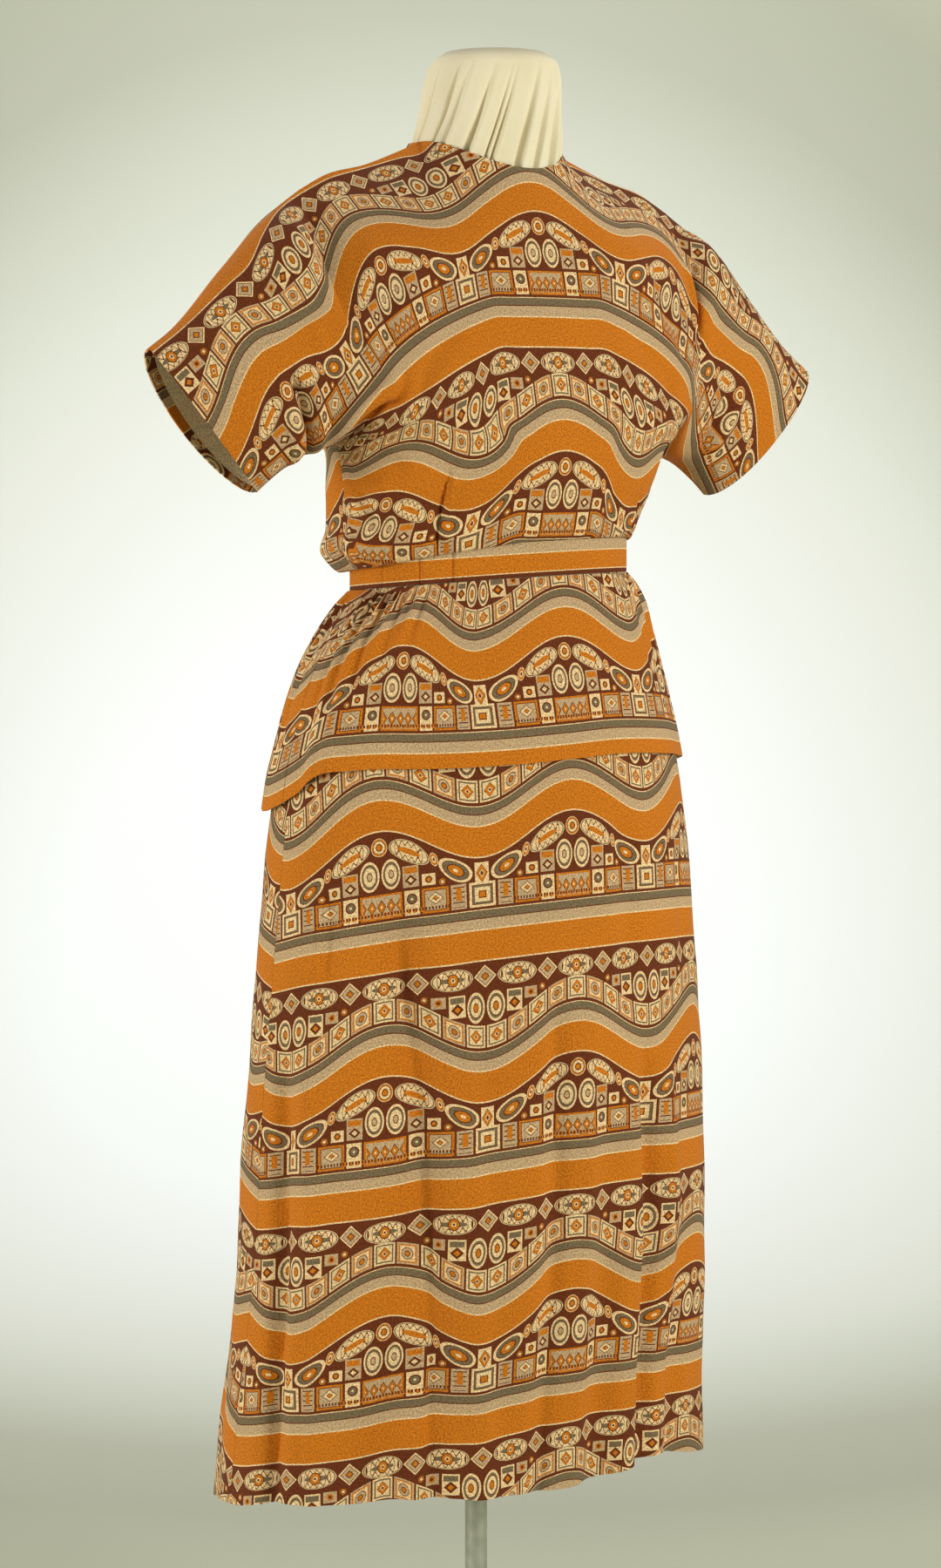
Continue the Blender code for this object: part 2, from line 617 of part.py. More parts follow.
def welded_normals(grids, cells):
    """Outward normals of grids that share the points of their seams."""
    sums = {}

    def key(point):
        return tuple(np.round(point, 6))

    for grid in grids:
        for r, c in zip(*np.nonzero(cells)):
            a, b = grid[r, c], grid[r + 1, c]
            d, e = grid[r + 1, c + 1], grid[r, c + 1]
            normal = np.cross(d - a, e - b) * grid_sign(grid)
            for point in (a, b, d, e):
                sums[key(point)] = sums.get(key(point), 0) + normal
    result = []
    for grid in grids:
        normals = np.zeros(grid.shape)
        for index in np.ndindex(grid.shape[:2]):
            total = sums.get(key(grid[index]), np.array([0, 0, 1.0]))
            normals[index] = total / np.linalg.norm(total)
        result.append(normals)
    return result


def grid_sign(grid):
    """Which way round the grid's squares run, seen from outside at its centre."""
    r, c = grid.shape[0] // 3, grid.shape[1] // 2
    normal = np.cross(grid[r + 1, c + 1] - grid[r, c], grid[r, c + 1] - grid[r + 1, c])
    return 1.0 if normal[1] * grid[r, c, 1] > 0 else -1.0


def make_bodice(cloth):
    below = np.linspace(-1, 0, BODY_ROWS + 1)
    levels = np.concatenate([below, np.linspace(0, 1, CHEST_ROWS + 1)[1:]])
    share = np.linspace(0, 1, BODY_COLUMNS + 1)
    hem_start = 1 - SLEEVE_HEM_DEPTH / SLEEVE_LENGTH
    before_hem = hem_start - SLEEVE_HEM_STEP / SLEEVE_LENGTH
    along = np.append(np.linspace(0, before_hem, SLEEVE_COLUMNS - 1), (hem_start, 1.0))
    grids = [bodice_grid(ahead, levels, share, along) for ahead in (1, -1)]
    rows, columns = grids[0].shape[:2]
    cells = np.zeros((rows - 1, columns - 1), bool)
    cells[BODY_ROWS:] = True
    cells[:BODY_ROWS, SLEEVE_COLUMNS : columns - 1 - SLEEVE_COLUMNS] = True
    normals = welded_normals(grids, cells)
    middle = columns // 2
    beyond = np.abs(np.arange(columns) - middle)
    layers = np.where(beyond > BODY_COLUMNS + SLEEVE_COLUMNS - 2, 2, 1)
    for side, ahead, outer, normal in zip(("front", "back"), (1, -1), grids, normals):
        inner = outer - normal * CLOTH * layers[None, :, None]
        for grid in (outer, inner):
            away = -ahead * SEAM_GAP / 2
            grid[: BODY_ROWS + 1, beyond == BODY_COLUMNS, 1] += away
            grid[BODY_ROWS, beyond > BODY_COLUMNS, 1] += away
            grid[-1, beyond >= NECK_SHARE * BODY_COLUMNS, 1] += away
            grid[0, :, 2] += PIECE_GAP
        wall(f"bodice_{side}", outer, inner, cloth, cells)


def make_form(cloth):
    turn = np.linspace(0, 2 * np.pi, FORM_COLUMNS, endpoint=False)
    rings = []
    for height, width, front, back, mx, my, power, saddle in zip(*FORM_RINGS.values()):
        reach = oval(turn, width, front, back, power)
        z = height + saddle * np.sin(turn) ** 2
        rings.append(np.stack([mx + reach * np.sin(turn), my - reach * np.cos(turn), z], axis=-1))
    stacked("form_torso", np.array(rings), cloth)
    turn = np.linspace(0, 2 * np.pi, COVER_COLUMNS, endpoint=False)
    rings = []
    for height, radius, mx, my, saddle, fold in zip(*COVER_RINGS.values()):
        rise = (height - COVER_RINGS["height"][0]) / np.ptp(COVER_RINGS["height"])
        reach = radius - fold * (0.5 + 0.5 * np.cos(COVER_FOLDS * (turn - COVER_TWIST * rise)))
        z = height + saddle * np.sin(turn) ** 2
        rings.append(np.stack([mx + reach * np.sin(turn), my - reach * np.cos(turn), z], axis=-1))
    stacked("form_neck_cover", np.array(rings), cloth)


def turned(name, profile, steps, finish):
    """A body turned round the Z axis from a profile at +X, listed from its top to its bottom."""
    mesh = bpy.data.meshes.new(name)
    mesh.from_pydata([(x, 0, z) for x, z in profile], [(i, i + 1) for i in range(len(profile) - 1)], [])
    obj = bpy.data.objects.new(name, mesh)
    collection().objects.link(obj)
    screw = obj.modifiers.new("turn", "SCREW")
    screw.axis = "Z"
    screw.steps = steps
    screw.render_steps = steps
    screw.use_merge_vertices = True
    screw.merge_threshold = 0.00005
    screw.use_smooth_shade = True
    mesh.materials.append(finish)
    return obj


def make_stand(metal, painted):
    form_bottom = FORM_RINGS["height"][0]
    flange_top = form_bottom - PIECE_GAP
    flange = 0.035
    disc = 0.012
    socket_wall = 0.006
    socket_top = 0.045
    slack = 0.0003
    edge = 0.002
    pole_foot = disc + PIECE_GAP
    turned(
        "form_pole",
        [
            (0, flange_top),
            (flange, flange_top),
            (flange, flange_top - 0.005),
            (POLE_RADIUS + 0.004, flange_top - 0.008),
            (POLE_RADIUS, flange_top - 0.020),
            (POLE_RADIUS, pole_foot),
            (0, pole_foot),
        ],
        32,
        metal,
    )
    turned(
        "form_base",
        [
            (0, disc),
            (POLE_RADIUS + slack, disc),
            (POLE_RADIUS + slack, socket_top),
            (POLE_RADIUS + socket_wall, socket_top),
            (POLE_RADIUS + socket_wall, disc + 0.006),
            (POLE_RADIUS + 3 * socket_wall, disc),
            (BASE_RADIUS - edge, disc),
            (BASE_RADIUS, disc - edge),
            (BASE_RADIUS, 0),
            (0, 0),
        ],
        48,
        painted,
    )


def main():
    for obj in list(bpy.data.objects):
        bpy.data.objects.remove(obj, do_unlink=True)
    print_cloth = material("printed_rayon", (0.42, 0.16, 0.05), 0.75)
    form_cloth = material("cream_jersey", (0.79, 0.73, 0.53), 0.85)
    metal = material("galvanised_steel", (0.33, 0.33, 0.26), 0.45, 0.9)
    painted = material("grey_paint", (0.25, 0.25, 0.22), 0.5)
    make_bodice(print_cloth)
    make_waistband(print_cloth)
    make_peplum(print_cloth)
    make_skirt(print_cloth)
    make_form(form_cloth)
    make_stand(metal, painted)


main()
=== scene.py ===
"""The day dress on its form, dressed in cloth: finer folds, gathers, print and weave."""

import math

import bpy
import numpy as np
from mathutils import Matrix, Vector


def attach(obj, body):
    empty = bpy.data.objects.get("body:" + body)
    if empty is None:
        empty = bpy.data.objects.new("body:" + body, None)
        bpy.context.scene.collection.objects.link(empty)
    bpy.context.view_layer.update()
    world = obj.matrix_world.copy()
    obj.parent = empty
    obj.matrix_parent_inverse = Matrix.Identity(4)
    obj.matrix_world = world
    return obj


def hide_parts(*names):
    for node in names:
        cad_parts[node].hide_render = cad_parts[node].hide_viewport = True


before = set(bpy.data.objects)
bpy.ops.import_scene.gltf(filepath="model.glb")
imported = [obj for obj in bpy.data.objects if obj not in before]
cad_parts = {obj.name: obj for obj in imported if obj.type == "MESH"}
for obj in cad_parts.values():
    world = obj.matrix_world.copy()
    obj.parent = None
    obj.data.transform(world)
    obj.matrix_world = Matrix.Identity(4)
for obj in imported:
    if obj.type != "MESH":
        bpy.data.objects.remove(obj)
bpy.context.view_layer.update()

# Lengths are in metres, but in millimetres in the tables, the creases and the print.
PER_METRE = 1000
NO_LENGTHS = (
    "level angle turn along start spread seam end count "
    "power low_power front_power back_power blouse sag fold bend"
).split()

# Sizes shared with the solids.
BAND_WIDTH = 0.0318
NECK_FRONT_HEIGHT = 1.373
NECK_BACK_HEIGHT = 1.4035
SLEEVE_LENGTH = 0.16
SLEEVE_HEM_DEPTH = 0.011
WAIST_SLOPE = (0.043, -0.065)
PIECE_GAP = 0.0003
SEAM_GAP = 0.0003
CLOTH = 0.0007


def table(columns, *rows):
    """A table with named columns, each a numpy array, with its lengths in metres."""
    named = zip(columns.split(), np.array(rows, float).T)
    return {name: values / (1 if name in NO_LENGTHS else PER_METRE) for name, values in named}


def rows_of(sections):
    """A table's rows, each with its values by name."""
    return [dict(zip(sections, values)) for values in zip(*sections.values())]


# The same sections as the solids have, from the hem up.
BODICE_RINGS = table(
    "level height width front back middle_x middle_y front_power back_power blouse sag",
    (-1, 1065, 125.5, 94.2, 94, 3, -15, 2.1, 2.1, 0, 0),
    (-0.88, 1062, 126.8, 95.2, 95.2, 3, -15, 2.1, 2.1, 0.28, 1),
    (-0.74, 1068, 129, 97.5, 98, 3, -15.5, 2.1, 2.1, 1, 0.35),
    (-0.5, 1085, 135.5, 100.5, 103, 3, -17, 2.1, 2.1, 0.55, 0),
    (-0.25, 1112, 145.5, 104.5, 105, 3, -19.5, 2.2, 2.2, 0.1, 0),
    (0, 1145, 154, 106, 102, 4, -22, 2.3, 2.2, 0, 0),
)
BLOUSE = table(
    "angle out drop",
    (-180, 10, 8),
    (-115, 19, 13),
    (-80, 15, 12),
    (-50, 4.5, 5),
    (-15, 1, 0),
    (55, 1, 0),
    (90, 3, 3),
    (130, 7, 7),
    (180, 10, 8),
)
CHEST_COLUMNS = "level middle_y middle_height arm_x arm_y arm_height turn"
CHEST = table(
    CHEST_COLUMNS,
    (0.13, -126, 1168, 156, -88, 1170, 84),
    (0.3, -121, 1195, 152, -96, 1193, 78),
    (0.6, -107, 1260, 178, -74, 1253, 60),
    (0.85, -90, 1328, 186, -43, 1313, 48),
)
UPPER_BACK = table(
    CHEST_COLUMNS,
    (0.13, 84, 1168, 156, 34, 1162, 84),
    (0.3, 86, 1195, 153, 46, 1190, 78),
    (0.6, 86, 1268, 178, 34, 1253, 60),
    (0.85, 73, 1346, 186, 11, 1314, 48),
)
SHOULDER = table(
    "x height y",
    (64.5, 1396.5, -14),
    (90, 1386, -15.5),
    (120, 1374.5, -16.5),
    (160, 1363.5, -17.5),
    (185, 1350, -18),
)
NECK_SHARE = 0.5
SEAM_HOLD = 4
SLEEVE = table(
    "along top_x top_y top_height low_x low_y low_height front back bow power low_power",
    (0.22, 213, -21, 1330, 176, -20, 1141, 54, 44, 0, 2.1, 3.2),
    (0.5, 258, -26, 1285, 196, -22, 1133, 43, 40, 4, 2.1, 2.9),
    (0.78, 301, -29, 1240, 215, -22, 1119, 33, 32, 7, 2.1, 2.4),
    (1, 330, -31, 1219, 228, -21, 1107, 25, 26, 9, 2, 2.1),
)
UNDERSIDE_FROM = 0.5
UNDERSIDE_BLEND = 2
RING_COLUMNS = "height width front back middle_x middle_y power"
WAIST_RING = table(RING_COLUMNS, (1033, 124.5, 93.2, 93.2, 3, -15, 2.1))
SKIRT_RINGS = table(
    RING_COLUMNS,
    (261.7, 230, 157, 164, -4.5, 17, 2),
    (332.5, 225.5, 154, 161, -4.5, 11.5, 2),
    (410, 221.5, 151, 157, -4, 2, 2),
    (490, 218, 149, 154, -4, -6, 2),
    (570, 214.5, 147.5, 150, -4.5, -8, 2),
    (650, 209, 145, 147, -4, -9, 2),
    (735, 202, 140, 142, -3.5, -10, 2),
    (830, 192.5, 133, 134.5, -3.5, -10.5, 2),
    (883, 183, 128.5, 129.5, -6, -10.8, 2),
    (950, 162, 113, 115, -6, -12, 2),
    (995, 140.5, 100, 102, -2, -14, 2.1),
    (1033, 122.2, 90.8, 90.8, 3, -15, 2.1),
)
PEPLUM_RINGS = table(
    RING_COLUMNS,
    (862.9, 189.5, 136, 137, -5, -10.5, 2),
    (890, 185, 132.5, 133.5, -6, -10.8, 2),
    (918, 178, 127, 128, -6, -11, 2),
    (951, 168.5, 119.5, 121.5, -6, -12, 2),
    (984, 155, 110.5, 112.5, -4, -13, 2.1),
    (1008.5, 142.5, 102.5, 104.5, 0, -14.5, 2.1),
    (1033, 125.8, 94.4, 94.4, 3, -15, 2.1),
)
HEMS = table(
    "angle peplum skirt",
    (-180, 842, 250),
    (-113, 845, 252.3),
    (-95, 848, 268),
    (-86, 861, 272.6),
    (-78, 878, 280),
    (-68, 883.5, 283.5),
    (-50, 885.1, 287),
    (-25, 887.2, 286.8),
    (0, 890.5, 284),
    (22, 892.7, 287.7),
    (38, 891.2, 292.5),
    (55, 887.5, 280),
    (68, 883.4, 272),
    (84, 875, 266),
    (98, 856, 258),
    (113, 846, 253),
    (180, 842, 250),
)
FOLD_COLUMNS = "angle spread start out"
SKIRT_FOLDS = table(
    FOLD_COLUMNS,
    (-78, 9, 0.45, 7),
    (-64, 7, 0.55, 5),
    (-52, 6, 0.4, -9),
    (-24, 18, 0.5, 5),
    (12, 7, 0.45, -8),
    (28, 9, 0.5, 5),
    (43, 6, 0.6, -7),
    (60, 9, 0.45, 7),
    (78, 7, 0.55, -6),
    (104, 9, 0.4, 8),
    (124, 7, 0.45, -8),
    (146, 11, 0.4, 8),
    (168, 8, 0.5, -7),
    (190, 11, 0.45, 7),
    (214, 7, 0.5, -8),
    (234, 10, 0.4, 7),
    (254, 6, 0.55, -6),
)
PEPLUM_FOLDS = table(
    FOLD_COLUMNS,
    (-76, 9, 0.1, 3.5),
    (-58, 7, 0.1, -3),
    (-40, 9, 0.15, 2),
    (48, 8, 0.15, 2),
    (64, 7, 0.1, -2.5),
    (80, 9, 0.1, 3.5),
    (104, 9, 0.1, 2),
    (128, 9, 0.1, 3),
    (232, 9, 0.1, 3),
    (252, 8, 0.1, -2.5),
)
GATHERED = table(
    "seam end count",
    (-89, -44, 7),
    (89, 42, 6),
    (91, 146, 7),
    (269, 214, 7),
)
# How deep the gathers are from the band to the hem, how uneven, and how they fade at their ends.
GATHER_TOP = 0.0007
GATHER_DEEPEST = 0.0026
GATHER_DEEPEST_AT = 0.2
GATHER_HEM = 0.0004
GATHER_UNEVEN = 0.018
GATHER_UNEVEN_TURNS = 7
GATHER_FADE = 6
GATHER_FADE_OUT = 1.7
GATHER_LEAN = 0.25
FINE_GATHER_DEPTH = 0.0024
FINE_GATHER_DEEPEST_AT = 0.06
FINE_GATHER_END = 0.4
FINE_GATHER_SHIFT = 1.3
FINE_GATHER_UNEVEN = 2.5
FINE_GATHER_TURNS = 5.1
PEPLUM_FLARE = 0.45
COVER_RINGS = table(
    "height radius middle_x middle_y saddle fold",
    (1356, 59, 0, -14, 19.5, 0.5),
    (1369, 61.6, 0, -14, 16, 0.9),
    (1383, 62, 0, -14.5, 10, 1),
    (1397, 61.2, 0, -16.5, 5, 1),
    (1415, 59.6, -0.4, -20, 0, 0.8),
    (1437, 57.4, -1, -24.5, 0, 0.45),
    (1454, 54.6, -1.4, -28, 0, 0.15),
    (1464, 50.2, -1.6, -29.5, 0, 0),
    (1470.5, 41, -1.6, -30, 0, 0),
)

# Finer folds, added to the solids' own. The same columns as the folds above.
SKIRT_FINE = table(
    FOLD_COLUMNS,
    (-70, 2.6, 0.62, -2.2),
    (-58, 3, 0.4, 1.8),
    (-44, 3.5, 0.55, 2.2),
    (-33, 2.6, 0.68, -1.6),
    (-8, 4, 0.6, 1.8),
    (4, 3, 0.7, -1.4),
    (20, 3, 0.6, 2),
    (36, 3, 0.55, 1.8),
    (51, 3, 0.66, 2),
    (69, 3.4, 0.5, -2),
    (95, 3, 0.6, -1.6),
    (113, 3.4, 0.5, 2),
    (136, 3, 0.62, -1.8),
    (157, 4, 0.52, 1.8),
    (179, 3.2, 0.66, -1.6),
    (202, 3.6, 0.55, 2),
    (224, 3, 0.6, -1.8),
    (245, 3.4, 0.5, 2),
    (262, 3, 0.64, -1.6),
)
UNDERARM_HEIGHT = BODICE_RINGS["height"][-1]
WAIST_HEIGHT = SKIRT_RINGS["height"][-1]
PEPLUM_HEM_HEIGHT = PEPLUM_RINGS["height"][0]
NECK_RADIUS, NECK_SIDE_HEIGHT, NECK_MIDDLE = (values[0] for values in SHOULDER.values())


def smooth(keys, values, at):
    """Values at some places of a smooth curve through the given ones."""
    keys = np.asarray(keys, float)
    values = np.asarray(values, float)
    at = np.clip(np.asarray(at, float), keys[0], keys[-1])
    slopes = np.gradient(values, keys, axis=0)
    low = np.clip(np.searchsorted(keys, at, side="right") - 1, 0, len(keys) - 2)
    lead = (len(at),) + (1,) * (values.ndim - 1)
    step = (keys[low + 1] - keys[low]).reshape(lead)
    t = (at - keys[low]).reshape(lead) / step
    start = (2 * t**3 - 3 * t**2 + 1) * values[low] + (t**3 - 2 * t**2 + t) * step * slopes[low]
    return start + (3 * t**2 - 2 * t**3) * values[low + 1] + (t**3 - t**2) * step * slopes[low + 1]


def ease(x):
    x = np.clip(x, 0, 1)
    return x * x * (3 - 2 * x)


def oval(angle, width, front, back, power):
    side = np.abs(np.sin(angle)) / width
    ahead = np.cos(angle)
    depth = np.abs(ahead) / np.where(ahead > 0, front, back)
    return (side**power + depth**power) ** (-1 / power)


def fold_depth(folds, angle, drop):
    total = np.zeros(np.broadcast(angle, drop).shape)
    for middle, spread, start, out in zip(*folds.values()):
        away = np.degrees(np.angle(np.exp(1j * (angle - math.radians(middle)))))
        total = total + out * ease((drop - start) / (1 - start)) * np.exp(-((away / spread) ** 2))
    return total


def gather_depth(angle, drop):
    """The gathers under the band: broad ones as the solid has, and finer ones close to the band."""
    turn = np.degrees(angle)
    broad = np.zeros(np.broadcast(turn, drop).shape)
    fine = np.zeros(broad.shape)
    for seam, end, count in zip(*GATHERED.values()):
        share = (turn - seam) / (end - seam)
        uneven = share + GATHER_UNEVEN * np.sin(GATHER_UNEVEN_TURNS * share + seam)
        fade = ease(share * GATHER_FADE) * ease((1 - share) * GATHER_FADE_OUT)
        fade = np.where((share >= 0) & (share <= 1), fade, 0)
        phase = 2 * np.pi * count * uneven
        broad = broad + fade * np.sin(phase + GATHER_LEAN * np.cos(phase))
        wander = FINE_GATHER_UNEVEN * np.sin(FINE_GATHER_TURNS * share + seam)
        fine = fine + fade * np.sin(2 * phase + FINE_GATHER_SHIFT + wander)
    rise = ease(drop / GATHER_DEEPEST_AT)
    fall = ease((drop - GATHER_DEEPEST_AT) / (1 - GATHER_DEEPEST_AT))
    size = GATHER_TOP + (GATHER_DEEPEST - GATHER_TOP) * rise - (GATHER_DEEPEST - GATHER_HEM) * fall
    fine_fall = ease((drop - FINE_GATHER_DEEPEST_AT) / (FINE_GATHER_END - FINE_GATHER_DEEPEST_AT))
    fine_size = FINE_GATHER_DEPTH * ease(drop / FINE_GATHER_DEEPEST_AT) * (1 - fine_fall)
    return broad * size + fine * fine_size


def hem_level(hem, angles):
    turn = np.degrees(np.angle(np.exp(1j * angles)))
    return smooth(HEMS["angle"], HEMS[hem], turn)


def waist_rise(x, y):
    """How much the sloping waist rises or falls at a place round it."""
    return WAIST_SLOPE[0] * x + WAIST_SLOPE[1] * y


def hanging(rings, angles, drops, hem, out):
    """Points of cloth hung from the waist, a row for each drop. out gives what folds add."""
    heights = rings["height"][-1] + (rings["height"][0] - rings["height"][-1]) * drops
    ring = {name: smooth(rings["height"], rings[name], heights)[:, None] for name in rings}
    drop = drops[:, None]
    angle = angles[None, :]
    reach = oval(angle, ring["width"], ring["front"], ring["back"], ring["power"])
    reach = reach + out(angle, drop)
    x = reach * np.sin(angle)
    y = -reach * np.cos(angle)
    level = hem_level(hem, angles)[None, :] - rings["height"][0]
    z = heights[:, None] + (1 - drop) * waist_rise(x, y) + drop * level
    return np.stack([x + ring["middle_x"], y + ring["middle_y"], z], axis=-1)


def bodice_ring_rows(turns):
    out = np.interp(np.degrees(turns), BLOUSE["angle"], BLOUSE["out"])
    drop = np.interp(np.degrees(turns), BLOUSE["angle"], BLOUSE["drop"])
    lowest = BODICE_RINGS["height"][0]
    rows = []
    for ring in rows_of(BODICE_RINGS):
        power = np.where(np.cos(turns) > 0, ring["front_power"], ring["back_power"])
        reach = oval(turns, ring["width"], ring["front"], ring["back"], power) + ring["blouse"] * out
        x = reach * np.sin(turns)
        y = -reach * np.cos(turns)
        level = np.clip((UNDERARM_HEIGHT - ring["height"]) / (UNDERARM_HEIGHT - lowest), 0, 1)
        z = ring["height"] - ring["sag"] * drop + level * waist_rise(x, y)
        rows.append(np.stack([x + ring["middle_x"], y + ring["middle_y"], z], axis=-1))
    return rows


def chest_row(row, share, side):
    turn = math.radians(row["turn"])
    across = np.sin(share * turn) / math.sin(turn)
    forward = (np.cos(share * turn) - math.cos(turn)) / (1 - math.cos(turn))
    x = side * row["arm_x"] * across
    y = row["arm_y"] + (row["middle_y"] - row["arm_y"]) * forward
    z = row["middle_height"] + (row["arm_height"] - row["middle_height"]) * share**1.5
    return np.stack([x, y, z], axis=-1)


def top_row(share, side, ahead):
    turn = np.clip(share / NECK_SHARE, 0, 1) * math.pi / 2
    middle_height = NECK_FRONT_HEIGHT if ahead > 0 else NECK_BACK_HEIGHT
    x = NECK_RADIUS * np.sin(turn)
    y = NECK_MIDDLE - ahead * NECK_RADIUS * np.cos(turn)
    z = middle_height + (NECK_SIDE_HEIGHT - middle_height) * np.sin(turn) ** 2
    out = share > NECK_SHARE
    reach = (share[out] - NECK_SHARE) / (1 - NECK_SHARE)
    x[out] = SHOULDER["x"][0] + (SHOULDER["x"][-1] - SHOULDER["x"][0]) * reach
    y[out] = smooth(SHOULDER["x"], SHOULDER["y"], x[out])
    z[out] = smooth(SHOULDER["x"], SHOULDER["height"], x[out])
    return np.stack([side * x, y, z], axis=-1)


def body_half(side, ahead, levels, share):
    turns = side * share * math.pi / 2
    if ahead < 0:
        turns = side * (math.pi - share * math.pi / 2)
    chest = rows_of(CHEST if ahead > 0 else UPPER_BACK)
    keys = [*BODICE_RINGS["level"], *(row["level"] for row in chest), 1.0]
    rows = bodice_ring_rows(turns)
    rows += [chest_row(row, share, side) for row in chest]
    rows.append(top_row(share, side, ahead))
    points = smooth(keys, rows, levels)
    rings = len(BODICE_RINGS["level"])
    below = levels <= 0
    seam = smooth(keys[:rings], rows[:rings], levels[below])
    points[below] += (seam - points[below]) * (share**SEAM_HOLD)[None, :, None]
    return points


def sleeve_row(section, levels, side, ahead):
    turn = (levels - 0.5) * math.pi
    low_share = ease(UNDERSIDE_FROM - UNDERSIDE_BLEND * np.sin(turn)) * (ahead > 0)
    power = section["power"] + (section["low_power"] - section["power"]) * low_share
    up = np.sign(np.sin(turn)) * np.abs(np.sin(turn)) ** (2 / power)
    out = np.clip(np.cos(turn), 0, 1) ** (2 / power)
    top = np.array([section["top_x"], section["top_y"], section["top_height"]])
    low = np.array([section["low_x"], section["low_y"], section["low_height"]])
    length = np.linalg.norm(top - low)
    outward = np.array([top[2] - low[2], 0, low[0] - top[0]]) / length
    depth = section["front"] if ahead > 0 else section["back"]
    points = (top + low) / 2 + np.outer(up, (top - low) / 2)
    points += np.outer(out, section["bow"] * outward + depth * np.array([0, -ahead, 0]))
    points[:, 0] *= side
    return points


def sleeve_half(side, ahead, armhole, levels, along):
    columns = [armhole] + [sleeve_row(section, levels, side, ahead) for section in rows_of(SLEEVE)]
    keys = np.concatenate([[0.0], SLEEVE["along"]])
    return np.swapaxes(smooth(keys, columns, along), 0, 1)


def bodice_grid(ahead, levels, share, along):
    upper = levels >= 0
    halves = []
    for side in (-1, 1):
        body = body_half(side, ahead, levels, share)
        sleeve = np.zeros((len(levels), len(along) - 1, 3))
        sleeve[upper] = sleeve_half(side, ahead, body[upper, -1], levels[upper], along)[:, 1:]
        halves.append(np.concatenate([body, sleeve], axis=1))
    right, left = halves
    return np.concatenate([right[:, :0:-1], left], axis=1)


# How the flat cut is found: rounds of moving the corners by this much of what evens their distances.
FLATTEN_ROUNDS = 1500
FLATTEN_STEP = 1.6
SHORTEST = 1e-6


def flatten(points, cells, start, rounds=FLATTEN_ROUNDS, held=None):
    """Cloth coordinates of a grid of points, with its edges and diagonals kept as long as they are.

    Points that are held stay where they start.
    """
    first, rest = slice(0, -1), slice(1, None)
    corners = ((first, first), (rest, first), (rest, rest), (first, rest))
    pairs = [(corners[a], corners[b]) for a, b in ((0, 1), (1, 2), (2, 3), (3, 0), (0, 2), (1, 3))]
    lengths = [np.linalg.norm(points[a] - points[b], axis=-1) for a, b in pairs]
    weight = np.zeros(points.shape[:2])
    for a, b in pairs:
        weight[a] += cells
        weight[b] += cells
    weight = np.maximum(weight, 1)[..., None]
    flat = start.copy()
    for _ in range(rounds):
        move = np.zeros(flat.shape)
        for (a, b), length in zip(pairs, lengths):
            gap = flat[a] - flat[b]
            now = np.maximum(np.linalg.norm(gap, axis=-1), SHORTEST)
            push = gap * (0.5 * cells * (length - now) / now)[..., None]
            move[a] += push
            move[b] -= push
        move *= FLATTEN_STEP / weight
        if held is not None:
            move[held] = 0
        flat += move
    return flat


# How fast a crease rises at its start and sinks at its end.
CREASE_RISE = 5
CREASE_FALL = 3


def crease_depth(flat, creases):
    """Soft ridges and troughs drawn on the cloth, from their start to their end in cloth coordinates."""
    total = np.zeros(flat.shape[:2])
    for u0, v0, u1, v1, bend, width, height in zip(*table(CREASE_COLUMNS, *creases).values()):
        line = np.array([u1 - u0, v1 - v0])
        length = np.linalg.norm(line)
        from_start = flat - (u0, v0)
        share = np.clip(from_start @ line / length**2, 0, 1)
        offset = from_start @ np.array([-line[1], line[0]]) / length
        distance = offset - 4 * share * (1 - share) * bend * length
        fade = ease(share * CREASE_RISE) * ease((1 - share) * CREASE_FALL)
        total += height * fade * np.exp(-((distance / width) ** 2))
    return total


# Waves that make cloth uneven: how fast each runs along u and v, and its share. Each wanders a little.
UNEVEN_WAVES = ((34, 21, 1.0), (57, -39, 0.7), (-21, 73, 0.6), (101, 47, 0.35))
UNEVEN_STEP = 1.7
WANDER = 0.8
WANDER_WAVE = (-11, 23)


def unevenness(flat, size, seed):
    """A slight uneven surface, as hung cloth has."""
    u, v = flat[..., 0], flat[..., 1]
    total = np.zeros(u.shape)
    for i, (along_u, along_v, share) in enumerate(UNEVEN_WAVES):
        wander = WANDER * np.sin(WANDER_WAVE[1] * v + WANDER_WAVE[0] * u + seed * i)
        total += share * np.sin(along_u * u + along_v * v + seed + UNEVEN_STEP * i + wander)
    return total * size


def outward_normals(points):
    """Normals of a grid of points, away from its middle."""
    normal = np.cross(np.gradient(points, axis=1), np.gradient(points, axis=0))
    normal = normal / np.maximum(np.linalg.norm(normal, axis=-1, keepdims=True), 1e-12)
    outward = (normal * (points - points.mean(axis=(0, 1)))).sum() >= 0
    return normal if outward else -normal


def new_object(name, data):
    obj = bpy.data.objects.new(name, data)
    bpy.context.scene.collection.objects.link(obj)
    return obj


def new_mesh(name, vertices, faces, *materials):
    mesh = bpy.data.meshes.new(name)
    mesh.from_pydata(vertices, [], faces)
    mesh.shade_smooth()
    for material in materials:
        mesh.materials.append(material)
    return mesh


def add_map(mesh, name, places):
    """A UV map from a place for each vertex."""
    corners = np.zeros(len(mesh.loops), np.int32)
    mesh.loops.foreach_get("vertex_index", corners)
    layer = mesh.uv_layers.new(name=name)
    layer.data.foreach_set("uv", np.array(places, np.float32)[corners].reshape(-1))


SHARP_ANGLE = math.radians(50)


